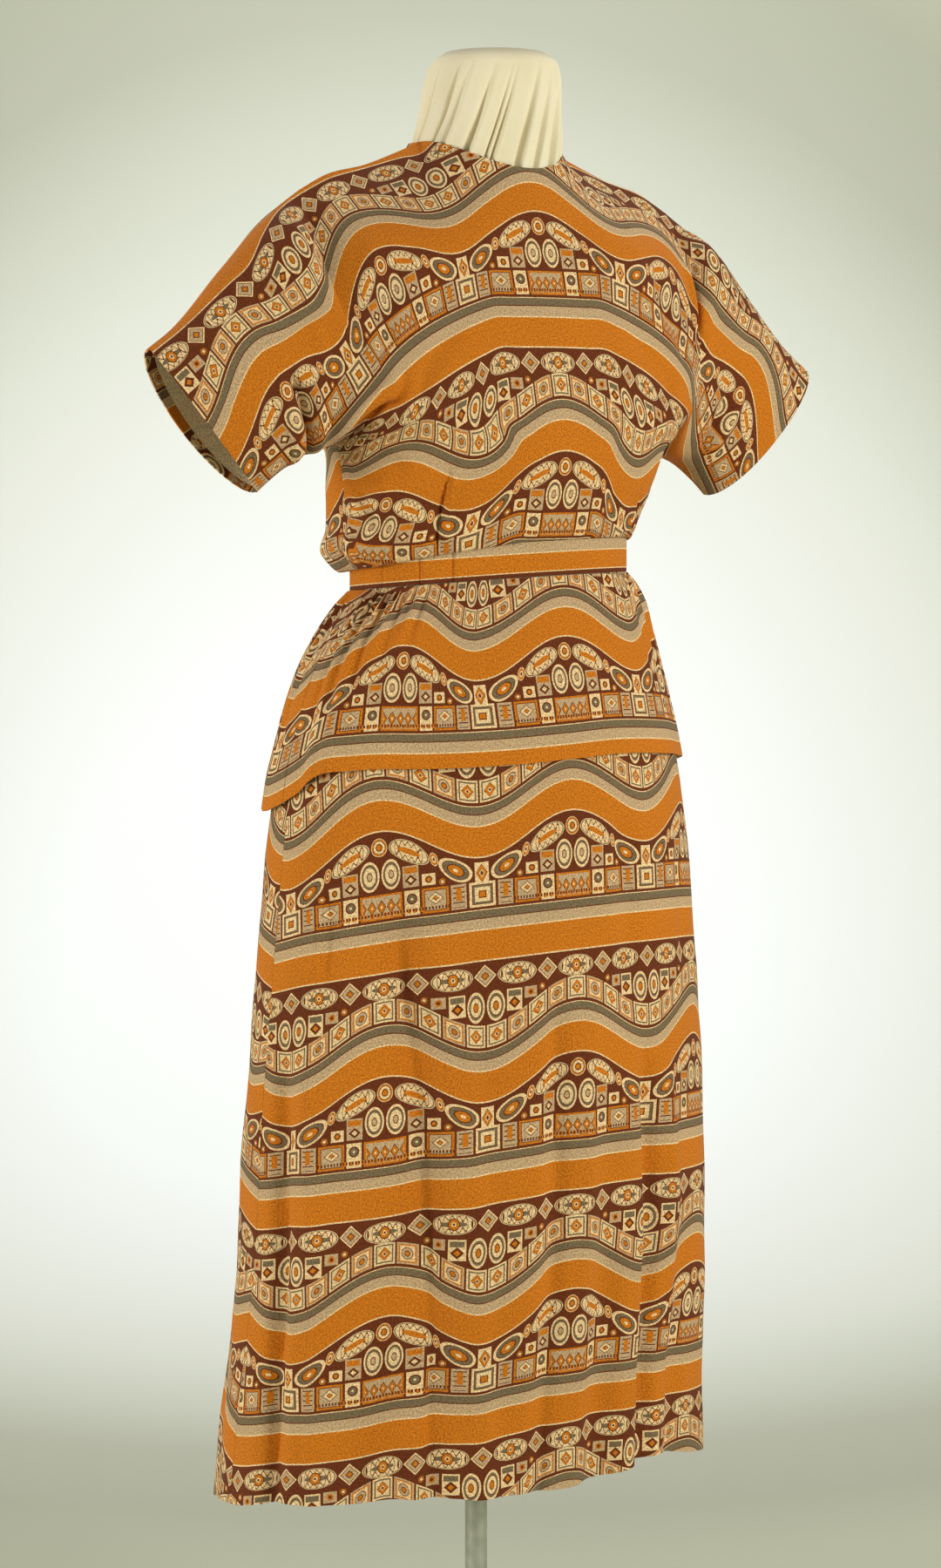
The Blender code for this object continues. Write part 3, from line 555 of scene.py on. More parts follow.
def shell(name, outer, inner, flat, cells, materials, lining=None):
    """A thin closed shell of cloth between two grids, with cloth coordinates as its UV map.

    lining gives the material of each cell's inner side, which is the second one without it.
    """
    rows, columns = outer.shape[:2]
    count = rows * columns
    index = np.arange(count).reshape(rows, columns)
    r, c = np.nonzero(cells)
    quads = np.stack([index[r, c], index[r + 1, c], index[r + 1, c + 1], index[r, c + 1]], axis=1)
    edges = np.concatenate([quads[:, [i, (i + 1) % 4]] for i in range(4)])
    key = edges.min(axis=1).astype(np.int64) * count + edges.max(axis=1)
    _, first, number = np.unique(key, return_index=True, return_counts=True)
    a, b = edges[first[number == 1]].T
    rim = np.stack([b, a, a + count, b + count], axis=1)
    faces = np.concatenate([quads, quads[:, ::-1] + count, rim])
    inner_slots = np.ones(len(quads), int) if lining is None else lining[r, c]
    slots = np.concatenate([np.zeros(len(quads), int), inner_slots, np.zeros(len(rim), int)])
    used, faces = np.unique(faces, return_inverse=True)
    faces = faces.reshape(-1, 4)
    points = np.concatenate([outer.reshape(-1, 3), inner.reshape(-1, 3)])[used]
    quad = points[faces]
    volume = (np.cross(quad[:, 0], quad[:, 1]) * quad[:, 2]).sum()
    volume += (np.cross(quad[:, 0], quad[:, 2]) * quad[:, 3]).sum()
    if volume < 0:
        faces = faces[:, ::-1]
    mesh = new_mesh(name, points.tolist(), faces.tolist(), *materials)
    add_map(mesh, "cloth", np.concatenate([flat.reshape(-1, 2)] * 2)[used])
    mesh.polygons.foreach_set("material_index", slots.astype(np.int32))
    mesh.set_sharp_from_angle(angle=SHARP_ANGLE)
    return new_object(name, mesh)


def fill(node, inputs):
    """Gives a node's inputs their values by name or place: numbers, colours, sockets or wires."""
    for name, value in inputs.items():
        socket = node.inputs[name]
        if isinstance(value, Wire):
            value = value.socket
        if isinstance(value, bpy.types.NodeSocket):
            node.id_data.links.new(value, socket)
        else:
            socket.default_value = (*value, 1) if isinstance(value, tuple) else value
    return node


def new_node(tree, kind, inputs):
    return fill(tree.nodes.new("ShaderNode" + kind), inputs)


class Wire:
    """An output of a node, with arithmetic that adds Math nodes."""

    def __init__(self, socket):
        self.socket = socket
        self.tree = socket.id_data

    def math(self, operation, *others, clamp=False):
        node = self.tree.nodes.new("ShaderNodeMath")
        node.operation = operation
        node.use_clamp = clamp
        return Wire(fill(node, dict(enumerate((self, *others)))).outputs[0])

    def __add__(self, other):
        return self.math("ADD", other)

    def __sub__(self, other):
        return self.math("SUBTRACT", other)

    def __mul__(self, other):
        return self.math("MULTIPLY", other)

    def scaled(self, by, plus=0.0):
        return self.math("MULTIPLY_ADD", by, plus)

    def near(self, middle, half):
        """1 where the value is within half of the middle."""
        return self.math("COMPARE", middle, half)

    def below(self, limit):
        return self.math("LESS_THAN", limit)

    def size(self):
        return self.math("ABSOLUTE")


def mixed(tree, factor, first, second):
    """A colour mixed from first to second. Each is a socket or a colour."""
    node = tree.nodes.new("ShaderNodeMix")
    node.data_type = "RGBA"
    return fill(node, {0: factor, 6: first, 7: second}).outputs[2]


def colours_along(value, start, *stops, kind="CONSTANT"):
    """Colours along a value from 0 to 1: the start's, and then (from, colour) pairs."""
    node = new_node(value.tree, "ValToRGB", {0: value})
    ramp = node.color_ramp
    ramp.interpolation = kind
    ramp.elements.remove(ramp.elements[1])
    ramp.elements[0].color = (*start, 1)
    for position, colour in stops:
        ramp.elements.new(position).color = (*colour, 1)
    return node.outputs[0]


def uv_map(tree, name):
    node = tree.nodes.new("ShaderNodeUVMap")
    node.uv_map = name
    return node.outputs[0]


def parts_of(vector):
    """x, y and z of a vector."""
    return [Wire(part) for part in new_node(vector.id_data, "SeparateXYZ", {0: vector}).outputs]


def noise(at, scale, **inputs):
    return Wire(new_node(at.id_data, "TexNoise", {"Vector": at, "Scale": scale, **inputs}).outputs[0])


def bump(height, strength, distance):
    inputs = {"Strength": strength, "Distance": distance, "Height": height}
    return new_node(height.tree, "Bump", inputs).outputs[0]


def linear(red, green, blue):
    """A scene colour from its usual 0 to 255 numbers."""
    shares = [c / 255 for c in (red, green, blue)]
    return tuple(((c + 0.055) / 1.055) ** 2.4 if c > 0.04 else c / 12.92 for c in shares)


ORANGE = linear(190, 108, 14)
CREAM = linear(222, 189, 134)
TAUPE = linear(182, 152, 110)
GREY = linear(112, 95, 66)
BROWN = linear(98, 44, 12)
# The wrong side's colour: partly its real faded print, partly painted light, paler as if light shone through
# the thin cloth.
FADED_AND_PAINTED_LIGHT = linear(244, 228, 190)
# Painted shade for the top of the neck cover.
TOP_PAINTED_SHADE = linear(126, 116, 74)


# Sizes of the print.
REPEAT = 165
BAND_STEP = 98.5
BAND_HALF = 11.8
WAVE_HIGH = 15.5
# Where each stripe of a band starts, from its lower edge up, and where the last one ends.
BAND_EDGE = 2.2
BAND_TOP = BAND_EDGE + 2 * BAND_HALF
BAND_STRIPES = (
    (1, CREAM),
    (BAND_EDGE, ORANGE),
    (BAND_TOP, CREAM),
    (BAND_TOP + 1.2, TAUPE),
    (BAND_TOP + 9.4, BROWN),
    (BAND_TOP + 10.2, GREY),
    (BAND_TOP + 16.2, CREAM),
    (BAND_TOP + 16.9, BROWN),
)
BAND_WHOLE = BAND_TOP + 17.8
# The pitch of a leaf's teeth and, as shares of its size, their height and where their line ends and starts.
TOOTH_PITCH = 5
TOOTH_HEIGHT = 0.17
TOOTH_LINE = (0.72, 0.6)
# How much shorter and lower its core is.
LEAF_CORE = (1.75, 3.6)


def oval_shape(a, b):
    return (a * a + b * b).math("SQRT")


def diamond_shape(a, b):
    return a.size() + b.size()


def square_shape(a, b):
    return a.size().math("MAXIMUM", b.size())


class Print:
    """A design built up by painting shapes one over another, at print coordinates x and y."""

    def __init__(self, tree):
        self.tree = tree
        u, v, _ = parts_of(uv_map(tree, "cloth"))
        turns = u.scaled(PER_METRE / REPEAT, 0.5).math("FRACT")
        self.x = turns.scaled(REPEAT, -REPEAT / 2).size()
        wave = (u * (2 * math.pi * PER_METRE / REPEAT)).math("COSINE") * WAVE_HIGH
        lowest = BAND_HALF + BAND_EDGE
        cycle = v.scaled(0.5 * PER_METRE / BAND_STEP, 0.5 * lowest / BAND_STEP).math("FRACT")
        self.y = cycle.scaled(2 * BAND_STEP, -lowest)
        self.from_wave = self.y - wave - BAND_STEP
        self.from_next = self.y.scaled(1.0, -2 * BAND_STEP)
        self.colour = mixed(tree, 0.0, BROWN, BROWN)

    def paint(self, mask, colour):
        self.colour = mixed(self.tree, mask, self.colour, colour)

    def cell(self, size, shift=0.0):
        """x within cells of a size, from each cell's middle."""
        inside = self.x.scaled(1 / size, 0.5 + shift).math("FRACT")
        return inside.scaled(size, -size / 2)

    def block(self, x, y, at, half, colour):
        self.paint(x.near(at[0], half[0]) * y.near(at[1], half[1]), colour)

    def rings(self, kind, x, y, at, half, *colours, where=None):
        """Paints a shape with a colour for each ring of it, from the middle out, where a mask allows it."""
        shape = kind(x.scaled(1 / half[0], -at[0] / half[0]), y.scaled(1 / half[1], -at[1] / half[1]))
        mask = shape.below(1.0)
        self.paint(mask * where if where else mask, colours_along(shape, *colours))

    def leaf(self, x, y, at, half, rim, tooth, core):
        """A long leaf with a toothed line round its core."""
        a = x.scaled(1 / half[0], -at[0] / half[0])
        b = y.scaled(1 / half[1], -at[1] / half[1])
        shape = oval_shape(a, b)
        self.paint(shape.below(1.0), colours_along(shape, rim, (0.9, GREY), (0.96, rim)))
        wavy = (x * (2 * math.pi / TOOTH_PITCH)).math("SINE") * TOOTH_HEIGHT + shape
        self.paint(wavy.below(TOOTH_LINE[0]), tooth)
        self.paint(wavy.below(TOOTH_LINE[1]), rim)
        self.paint(oval_shape(a * LEAF_CORE[0], b * LEAF_CORE[1]).below(1.0), core)

    def band(self, place):
        """An orange band with cream hairlines, and the taupe and grey stripes over it."""
        share = place.scaled(1 / BAND_WHOLE, (BAND_HALF + BAND_EDGE) / BAND_WHOLE)
        stops = [(start / BAND_WHOLE, shade) for start, shade in BAND_STRIPES]
        self.paint(share.near(0.5, 0.5), colours_along(share, BROWN, *stops))


def printed_colour(tree):
    """The print: orange bands, straight and wavy in turn, with rows of plain ornaments between."""
    design = Print(tree)
    x, y, wave, top = design.x, design.y, design.from_wave, design.from_next
    block, rings, leaf = design.block, design.rings, design.leaf
    oval, diamond, square = oval_shape, diamond_shape, square_shape
    side = REPEAT / 2
    # Panels in a straight row over the straight band.
    row = 41
    block(x, y, (0, row), (17, 10), ORANGE)
    block(x, y, (0, row), (15.2, 8.4), TAUPE)
    chain = design.cell(7.6)
    rings(diamond, chain, y, (0, row), (3.6, 5.8), CREAM, (0.26, ORANGE), (0.8, BROWN), where=x.below(15))
    block(x, y, (25.2, row), (6.2, 10), CREAM)
    rings(oval, x, y, (25.2, 44), (4.4, 4.4), CREAM, (0.24, GREY), (0.74, BROWN))
    block(design.cell(5, 0.46), y, (0, 34.6), (1.6, 1.8), ORANGE)
    block(x, y, (44, row), (10.7, 10), ORANGE)
    block(x, y, (44, row), (8.9, 8.3), BROWN)
    block(x, y, (44, row), (8.3, 7.7), TAUPE)
    rings(diamond, x, y, (44, 42.5), (6.6, 5.2), ORANGE, (0.3, BROWN), (0.42, CREAM), (0.86, BROWN))
    block(design.cell(2.6), y, (0, 35), (0.7, 1.2), BROWN)
    block(x, y, (62.8, row), (6.4, 10), TAUPE)
    lines = y.scaled(1 / 4).math("FRACT").below(0.24)
    design.paint(lines * x.near(62.8, 4.8) * y.near(row, 8.6), BROWN)
    block(x, y, (62.8, 43), (2.2, 5.2), ORANGE)
    shades = (ORANGE, (0.22, BROWN), (0.3, CREAM), (0.58, GREY), (0.74, BROWN), (0.8, CREAM))
    rings(square, x, y, (side, row), (11, 10), *shades)
    # Leaves and rings that follow the underside of the wavy band.
    shades = (ORANGE, (0.3, BROWN), (0.42, CREAM), (0.7, BROWN), (0.78, ORANGE), (0.93, CREAM))
    rings(oval, x, wave, (0, -25.2), (6.4, 7.4), *shades)
    leaf(x, wave, (24, -25.5), (16.2, 8.8), CREAM, BROWN, ORANGE)
    rings(oval, x, wave, (44, -23.5), (3.4, 5.2), BROWN, (0.25, CREAM), (0.5, ORANGE), (0.86, CREAM))
    shades = (CREAM, (0.16, ORANGE), (0.44, BROWN), (0.52, GREY), (0.74, BROWN), (0.8, CREAM))
    rings(oval, x, wave, (61.2, -25.5), (13.6, 8.8), *shades)
    block(x, wave, (side, -25), (5.8, 8.6), CREAM)
    rings(diamond, x, wave, (side, -25), (5, 7.6), BROWN, (0.3, CREAM), (0.45, ORANGE), (0.9, BROWN))
    # Petals and small panels where the wavy band leaves room.
    shades = (TAUPE, (0.22, BROWN), (0.3, CREAM), (0.62, GREY), (0.76, BROWN), (0.82, CREAM))
    rings(oval, x, y, (8.6, 66.2), (7.8, 12.2), *shades)
    block(x, y, (24.8, 62.2), (6.6, 8.6), TAUPE)
    block(x, y, (24.8, 67.2), (5.4, 2.4), ORANGE)
    rings(diamond, x, y, (24.8, 59.2), (5, 4.4), CREAM, (0.5, BROWN))
    block(x, y, (39.2, 58), (5.4, 4.6), CREAM)
    rings(oval, x, y, (39.2, 58), (2.8, 2.8), ORANGE, (0.6, BROWN))
    rings(oval, x, y, (50, 54.9), (2.6, 2.6), CREAM, (0.5, BROWN), (0.7, ORANGE))
    # Panels that follow the top of the wavy band.
    size = REPEAT / 9
    step = design.cell(size)
    even = x.scaled(0.5 / size, 0.25).math("FRACT").below(0.5)
    odd = even.scaled(-1.0, 1.0)
    at = (0, 40.4)
    block(step, wave, at, (8.4, 9), mixed(tree, even, TAUPE, CREAM))
    block(step, wave, at, (7, 7.6), mixed(tree, even, ORANGE, GREY))
    block(step, wave, at, (5.8, 6.4), CREAM)
    rings(diamond, step, wave, at, (5.2, 5.8), BROWN, (0.24, CREAM), (0.4, ORANGE), (0.9, BROWN), where=even)
    rings(oval, step, wave, at, (4.6, 5.2), ORANGE, (0.36, BROWN), (0.5, TAUPE), (0.88, BROWN), where=odd)
    # Ovals and diamonds under the next straight band.
    third = design.cell(REPEAT / 3)
    leaf(third, top, (0, -25), (17, 8.6), CREAM, BROWN, GREY)
    rings(oval, third, top, (0, -25), (4.4, 5.2), BROWN, (0.2, CREAM), (0.4, ORANGE), (0.84, BROWN))
    shades = (ORANGE, (0.26, BROWN), (0.38, TAUPE), (0.74, BROWN), (0.82, CREAM))
    rings(diamond, third.size(), top, (REPEAT / 6, -25), (9.4, 9.2), *shades)
    # Petals and small panels in the dips of the wavy band.
    shades = (ORANGE, (0.24, BROWN), (0.32, CREAM), (0.6, BROWN), (0.66, GREY), (0.82, CREAM))
    rings(oval, x, y, (73.8, 147.4), (7.8, 12.4), *shades)
    block(x, y, (57.8, 150.6), (6.6, 8.8), CREAM)
    block(x, y, (57.8, 155.6), (5.4, 2.4), GREY)
    rings(diamond, x, y, (57.8, 148.2), (5.2, 5), ORANGE, (0.5, BROWN))
    block(x, y, (43.4, 155), (5.6, 4.6), TAUPE)
    rings(oval, x, y, (43.4, 155), (2.8, 2.8), BROWN, (0.5, ORANGE))
    rings(oval, x, y, (32.6, 158.3), (2.6, 2.6), CREAM, (0.5, BROWN), (0.7, ORANGE))
    # The bands, over everything.
    design.band(y)
    design.band(wave)
    return design.colour


def striped_colour(tree):
    """The waistband's stripes, from its lower edge up."""
    share = parts_of(uv_map(tree, "cloth"))[1] * (1 / BAND_WIDTH)
    stops = ((0.11, CREAM), (0.14, ORANGE), (0.6, CREAM), (0.63, TAUPE), (0.9, BROWN), (0.915, GREY))
    return colours_along(share, BROWN, *stops)


def new_material(name):
    material = bpy.data.materials.new(name)
    material.use_nodes = True
    tree = material.node_tree
    return material, tree, tree.nodes["Principled BSDF"]


# The crepe's grain and patches: their scale, and how their noise is stretched and moved to tone the colour.
GRAIN_SCALE = 680
GRAIN_TONE = (2.8, -0.4)
GRAIN_DARKEST = 0.45
GRAIN_PALEST = 1.5
PATCH_SCALE = 14
PATCH_TONE = (0.16, 0.92)
# The weave's threads, and how strong and deep the bumps of the cloth and the knit are.
THREAD_PITCH = 0.0007
WEAVE_SHARE = 0.35
CLOTH_BUMP = (0.22, 0.0003)
KNIT_BUMP = (0.25, 0.0004)
KNIT_SCALE = 1400


def cloth_material(name, colour_of, reverse=0.0):
    """Printed crepe, with its fine weave and a slight crepe grain. reverse fades it as on the wrong side,
    partly the real fade of its back and partly painted light, as if lit through the thin cloth.
    """
    material, tree, shader = new_material(name)
    colour = colour_of(tree)
    # Partly painted light: the wrong side is paler than its fade alone, as if lit through the cloth.
    if reverse:
        colour = mixed(tree, reverse, colour, FADED_AND_PAINTED_LIGHT)
    at = uv_map(tree, "cloth")
    grain = noise(at, GRAIN_SCALE, Detail=3, Roughness=0.7)
    tone = grain.scaled(*GRAIN_TONE).math("MAXIMUM", GRAIN_DARKEST).math("MINIMUM", GRAIN_PALEST)
    tone = tone * noise(at, PATCH_SCALE, Detail=3).scaled(*PATCH_TONE)
    toned = new_node(tree, "HueSaturation", {"Color": colour, "Value": tone})
    warp, weft = [(part * (2 * math.pi / THREAD_PITCH)).math("SINE") for part in parts_of(at)[:2]]
    weave = (warp * weft).scaled(WEAVE_SHARE, 0.5) + grain
    inputs = {"Base Color": toned.outputs[0], "Normal": bump(weave, *CLOTH_BUMP)}
    inputs |= {"Roughness": 0.86, "Specular IOR Level": 0.15, "Sheen Weight": 0.05, "Sheen Roughness": 0.5}
    fill(shader, inputs)
    return material


# The neck cover's top has painted shade from this height up, within the next stretch: darker where little
# light falls on it.
TOP_SHADE_FROM = 1.4635
TOP_SHADE_BLEND = 0.009
TOP_SHADE_AMOUNT = 0.75


def jersey_material(name, colour, shade, painted_top_shade=False):
    """Plain cream jersey, with a little uneven colour and a fine knit grain, and painted shade on its top if
    asked.
    """
    material, tree, shader = new_material(name)
    at = tree.nodes.new("ShaderNodeTexCoord").outputs["Object"]
    colours = mixed(tree, noise(at, 18, Detail=3), shade, colour)
    if painted_top_shade:
        # Painted shade: the top of the cover is painted darker, as where little light reaches it.
        height = parts_of(at)[2]
        above = height.math("MULTIPLY_ADD", 1 / TOP_SHADE_BLEND, -TOP_SHADE_FROM / TOP_SHADE_BLEND, clamp=True)
        colours = mixed(tree, above * TOP_SHADE_AMOUNT, colours, TOP_PAINTED_SHADE)
    inputs = {"Base Color": colours, "Normal": bump(noise(at, KNIT_SCALE), *KNIT_BUMP)}
    inputs |= {"Roughness": 0.9, "Specular IOR Level": 0.2, "Sheen Weight": 0.2}
    fill(shader, inputs)
    return material


def metal_material(name, colour, shade, metallic, spangle):
    """Dull metal with patches, as galvanised or painted steel has."""
    material, tree, shader = new_material(name)
    at = tree.nodes.new("ShaderNodeTexCoord").outputs["Object"]
    cells = new_node(tree, "TexVoronoi", {"Vector": at, "Scale": spangle})
    patches = noise(at, 30)
    blend = Wire(cells.outputs["Distance"]) * 0.7 + patches * 0.5
    rough = patches.scaled(0.2, 0.4)
    fill(shader, {"Base Color": mixed(tree, blend, shade, colour), "Roughness": rough, "Metallic": metallic})
    return material


PRINT = cloth_material("printed_rayon_cloth", printed_colour)
PRINT_BACK = cloth_material("printed_rayon_reverse", printed_colour, reverse=0.8)
STRIPES = cloth_material("striped_rayon_band", striped_colour)
JERSEY = jersey_material("cream_jersey_cover", linear(232, 223, 191), linear(219, 205, 163), painted_top_shade=True)
FORM_CLOTH = jersey_material("cream_jersey_form", linear(232, 220, 188), linear(220, 206, 168))
STEEL = metal_material("galvanised_steel_pole", linear(178, 180, 158), linear(138, 140, 118), 0.45, 90)
PAINT = metal_material("grey_painted_base", linear(128, 128, 118), linear(112, 112, 103), 0.0, 40)

# Creases on the cloth of each piece, in its own cloth coordinates. A height below 0 is a trough.
CREASE_COLUMNS = "u0 v0 u1 v1 bend width height"
CREASES = {}
CREASES["bodice_front"] = (
    (-99, 0, -116, 130, 0.03, 2.4, -4.2),
    (-93, 0, -108, 122, 0.03, 3.4, 3),
    (-106.5, 0, -121, 110, 0.03, 4.5, -1.4),
    (98.5, 0, 113, 112, -0.04, 2.6, -3.2),
    (92.5, 0, 106, 104, -0.04, 3.6, 2),
    (-186, 208, -318, 214, -0.02, 8.5, 6.5),
    (-178, 190, -308, 195, -0.02, 8, -9.5),
    (-206, 218, -120, 295, 0.05, 11, -3.6),
    (-224, 232, -150, 315, 0.05, 11, 2.8),
    (-176, 184, -80, 215, 0.06, 10, -2.8),
    (-195, 164, -120, 156, 0.1, 8, 3),
    (-207, 100, -162, 52, 0.12, 5.6, -4.5),
    (-188, 112, -144, 64, 0.1, 6, 3.2),
    (-214, 130, -150, 112, 0.1, 6, -2.6),
    (-148, 20, -156, 90, 0.06, 5.5, -3),
    (-50, 10, -54, 90, 0.05, 7.5, -2.2),
    (-20, 10, -18, 70, 0.05, 7, 1.4),
    (56, 10, 61, 92, -0.05, 7.5, -2.2),
    (-330, 304, -370, 212, 0.06, 6, 5.2),
    (-317, 299, -357, 200, 0.06, 4.4, -8.5),
    (-300, 288, -334, 200, 0.08, 8, 3),
    (-255, 305, -290, 230, -0.08, 11, 3),
    (206, 332, 226, 256, 0.05, 4, -5.5),
    (196.5, 326, 216, 254, 0.05, 5.8, 3.8),
    (220, 272, 268, 234, 0.1, 5.8, -6),
    (206, 224, 114, 290, 0.05, 11, -3.2),
    (176, 190, 84, 218, 0.08, 10, -2.6),
    (190, 162, 116, 150, 0.1, 8, 2.6),
    (198, 124, 140, 82, -0.1, 6.5, -3.2),
    (332, 294, 360, 220, -0.06, 6, 4.2),
    (319, 286, 343, 218, -0.05, 5, -4.2),
)
CREASES["bodice_back"] = (
    (-322, -35, -306, 94, 0.03, 2.6, -3.6),
    (-328, -35, -313, 86, 0.03, 3.6, 2.4),
    (-508, -35, -524, 98, -0.03, 2.6, -3.6),
    (-502, -35, -517, 90, -0.03, 3.6, 2.4),
    (-222, 204, -108, 214, 0.03, 8.5, 5.8),
    (-226, 187, -118, 195, 0.03, 7.5, -8),
    (-608, 195, -722, 205, -0.03, 8.5, 5.8),
    (-604, 178, -710, 187, -0.03, 7.5, -8),
    (-190, 236, -300, 306, -0.05, 12, -3.6),
    (-640, 228, -525, 294, -0.05, 11, -3.4),
    (-230, 170, -320, 186, -0.08, 10, -2.6),
    (-602, 164, -510, 178, -0.06, 9, -2.8),
    (-396, -40, -386, 86, 0.05, 8, 3),
    (-444, -40, -456, 80, 0.04, 7.5, -3.2),
    (-360, -35, -354, 70, 0.05, 7, -2.8),
    (-476, -35, -482, 72, 0.05, 7.5, 2.8),
    (-85, 294, -52, 224, -0.05, 5.6, 4.6),
    (-97, 282, -72, 214, -0.05, 4.8, -4.6),
    (-748, 284, -781, 216, 0.05, 6, 4),
    (-735, 274, -762, 208, 0.05, 5, -4.2),
)
CREASES["waistband_front"] = (
    (-150, -30, -149, 70, 0, 1.6, -1.1),
    (-116, -30, -115, 70, 0, 1.7, -1.8),
    (-88.5, -30, -88, 70, 0, 1.5, -2),
    (108, -30, 109, 70, 0, 1.6, -1.1),
)
CREASES["waistband_back"] = (
    (-130, -30, -129, 70, 0, 1.6, -1.1),
    (95, -30, 94, 70, 0, 1.8, -1.2),
    (136, -30, 137, 70, 0, 1.5, -1.1),
)
CREASES["skirt_front"] = (
    (-210, -125, -217, -225, 0.05, 6, -3.6),
    (-220, -130, -227, -215, 0.05, 6.5, 2.4),
    (145, -130, 150, -250, -0.04, 8.5, -2.6),
    (-156, -100, -116, -850, 0.01, 12.5, -11),
    (-120, -110, -78, -850, 0.01, 14.5, 8),
    (-236, -200, -240, -850, 0.02, 10, 5),
    (-260, -200, -270, -850, 0.01, 9.5, -11.5),
    (-20, -200, -35, -850, 0.01, 11, -7),
    (10, -240, 6, -850, 0.01, 11, 4),
    (74, -260, 88, -850, 0.02, 9.5, -11.8),
    (106, -280, 116, -850, 0.02, 11, 7),
    (-160, -70, -166, -320, 0.04, 15, -5),
    (50, -90, 56, -300, 0.03, 14, -4.5),
)
CREASES["skirt_back"] = (
    (-150, -110, -118, -880, 0.01, 12.5, -11),
    (-110, -130, -80, -880, 0.01, 14, 7.5),
    (24, -240, 30, -880, 0.01, 13, -6),
    (60, -220, 68, -880, -0.01, 12, 7),
    (132, -160, 144, -880, 0.01, 12, -9.5),
    (232, -280, 236, -880, 0.01, 13, 1.4),
    (-224, -300, -220, -880, 0.01, 12, -5),
    (-30, -90, -36, -300, 0.03, 15, -4),
)


def declare(piece, node):
    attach(piece, "root")
    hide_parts(node)


def dress(node, outer, flat, cells, seed, rough, free=1.0, thick=CLOTH, lining=None, face=PRINT):
    """rough is how uneven it is. free is how far creases may lift it: 0 along seams, and 1 away from them.
    """
    lift = free * (unevenness(flat, rough, seed) + crease_depth(flat, CREASES.get(node, ())))
    outer = outer + outward_normals(outer) * lift[..., None]
    inner = outer - outward_normals(outer) * np.reshape(thick, np.shape(thick) + (1,))
    piece = shell(f"{node}_cloth", outer, inner, flat, cells, (face, PRINT_BACK), lining)
    declare(piece, node)


def halves(points):
    """Front and back halves of a tube's grid, parted at the side seams."""
    half = points.shape[1] // 2
    points = np.concatenate([points, points[:, :1]], axis=1)
    out = []
    for start, away in ((0, -1), (half, 1)):
        piece = points[:, start : start + half + 1].copy()
        piece[:, [0, -1], 1] += away * SEAM_GAP / 2
        out.append(piece)
    return out


def all_cells(points):
    return np.ones((points.shape[0] - 1, points.shape[1] - 1), bool)


def rows_start(points, middle, down=-1):
    """A first guess of cloth coordinates: lengths along each row, and down the middle column."""
    step = np.linalg.norm(np.diff(points, axis=1), axis=-1)
    u = np.concatenate([np.zeros((len(points), 1)), np.cumsum(step, axis=1)], axis=1)
    u = u - u[:, middle : middle + 1]
    fall = np.linalg.norm(np.diff(points[:, middle], axis=0), axis=-1)
    v = down * np.concatenate([[0], np.cumsum(fall)])[:, None] + 0 * u
    return np.stack([u, v], axis=-1)


def squared_up(flat, middle):
    """Turned and moved so that the middle column runs straight up and down at u = 0."""
    line = flat[0, middle] - flat[-1, middle]
    turn = math.atan2(line[0], line[1])
    if line[1] < 0:
        turn = math.atan2(-line[0], -line[1])
    c, s = math.cos(turn), math.sin(turn)
    flat = flat @ np.array([[c, s], [-s, c]])
    flat[..., 0] -= flat[:, middle, 0].mean()
    return flat


def two_ways(rows, columns, values, fine_rows, fine_columns):
    """Values of a coarse grid, at the places of a finer one."""
    part = smooth(rows, values, fine_rows)
    return np.swapaxes(smooth(columns, np.swapaxes(part, 0, 1), fine_columns), 0, 1)


# How far up the cut's sleeves are turned, between two places that are held, and how wavy the skirt's cut is.
SLEEVE_RAISE = math.radians(28)
SLEEVE_FROM = 0.3
SLEEVE_HELD = 1.4
SLEEVE_ROUNDS = 700
SKIRT_TILT = -0.04
SKIRT_BOW = 0.24
# Where each piece starts in the print's repeat.
BODICE_PHASE = 0.024
SKIRT_PHASE = BAND_STEP / PER_METRE


def raised_sleeves(points, cells, flat, place):
    """The cut has its sleeves straighter out than they hang, so the bands run down along them."""
    start = flat.copy()
    for side in (-1, 1):
        pivot = flat[-1, int(np.abs(place - side * NECK_SHARE).argmin())]
        turn = side * SLEEVE_RAISE * ease((side * place - SLEEVE_FROM) / (SLEEVE_HELD - SLEEVE_FROM))
        turn = np.where(side * place > 0, turn, 0)
        c, s = np.cos(turn), np.sin(turn)
        u, v = np.moveaxis(start - pivot, -1, 0)
        moved = np.stack([c * u - s * v, s * u + c * v], axis=-1)
        start = np.where((turn != 0)[None, :, None], pivot + moved, start)
    held = np.zeros(flat.shape[:2], bool)
    held[:, np.abs(place) > SLEEVE_HELD] = True
    held[:, np.abs(place) < SLEEVE_FROM] = True
    return flatten(points, cells, start, SLEEVE_ROUNDS, held)


# The bodice's coarse grid, on which the cut is flattened, and its fine one: rows below the underarm and
# above it, and columns of half the body, of a sleeve and of its hem.
COARSE_ROWS, COARSE_HIGH, COARSE_BODY, COARSE_SLEEVE = 12, 15, 12, 9
FINE_ROWS, FINE_HIGH, FINE_BODY, FINE_SLEEVE, FINE_HEM = 49, 89, 95, 45, 5
# The row of the side seam where the halves have the same cloth coordinates.
MATCHED_ROW = 25
# The lower edge turns under so tightly that its wall is thinner there.
EDGE_THINNING = 0.2
EDGE_BLEND = 0.16
# No crease lifts the cloth at a seam, and each grows over this much of the grid's levels and places.
NEAR_SEAM = 0.02
SEAM_EASE = 0.1
TOP_EASE = 0.06
CREASES_FROM = -0.87
CREASES_BLEND = 0.2


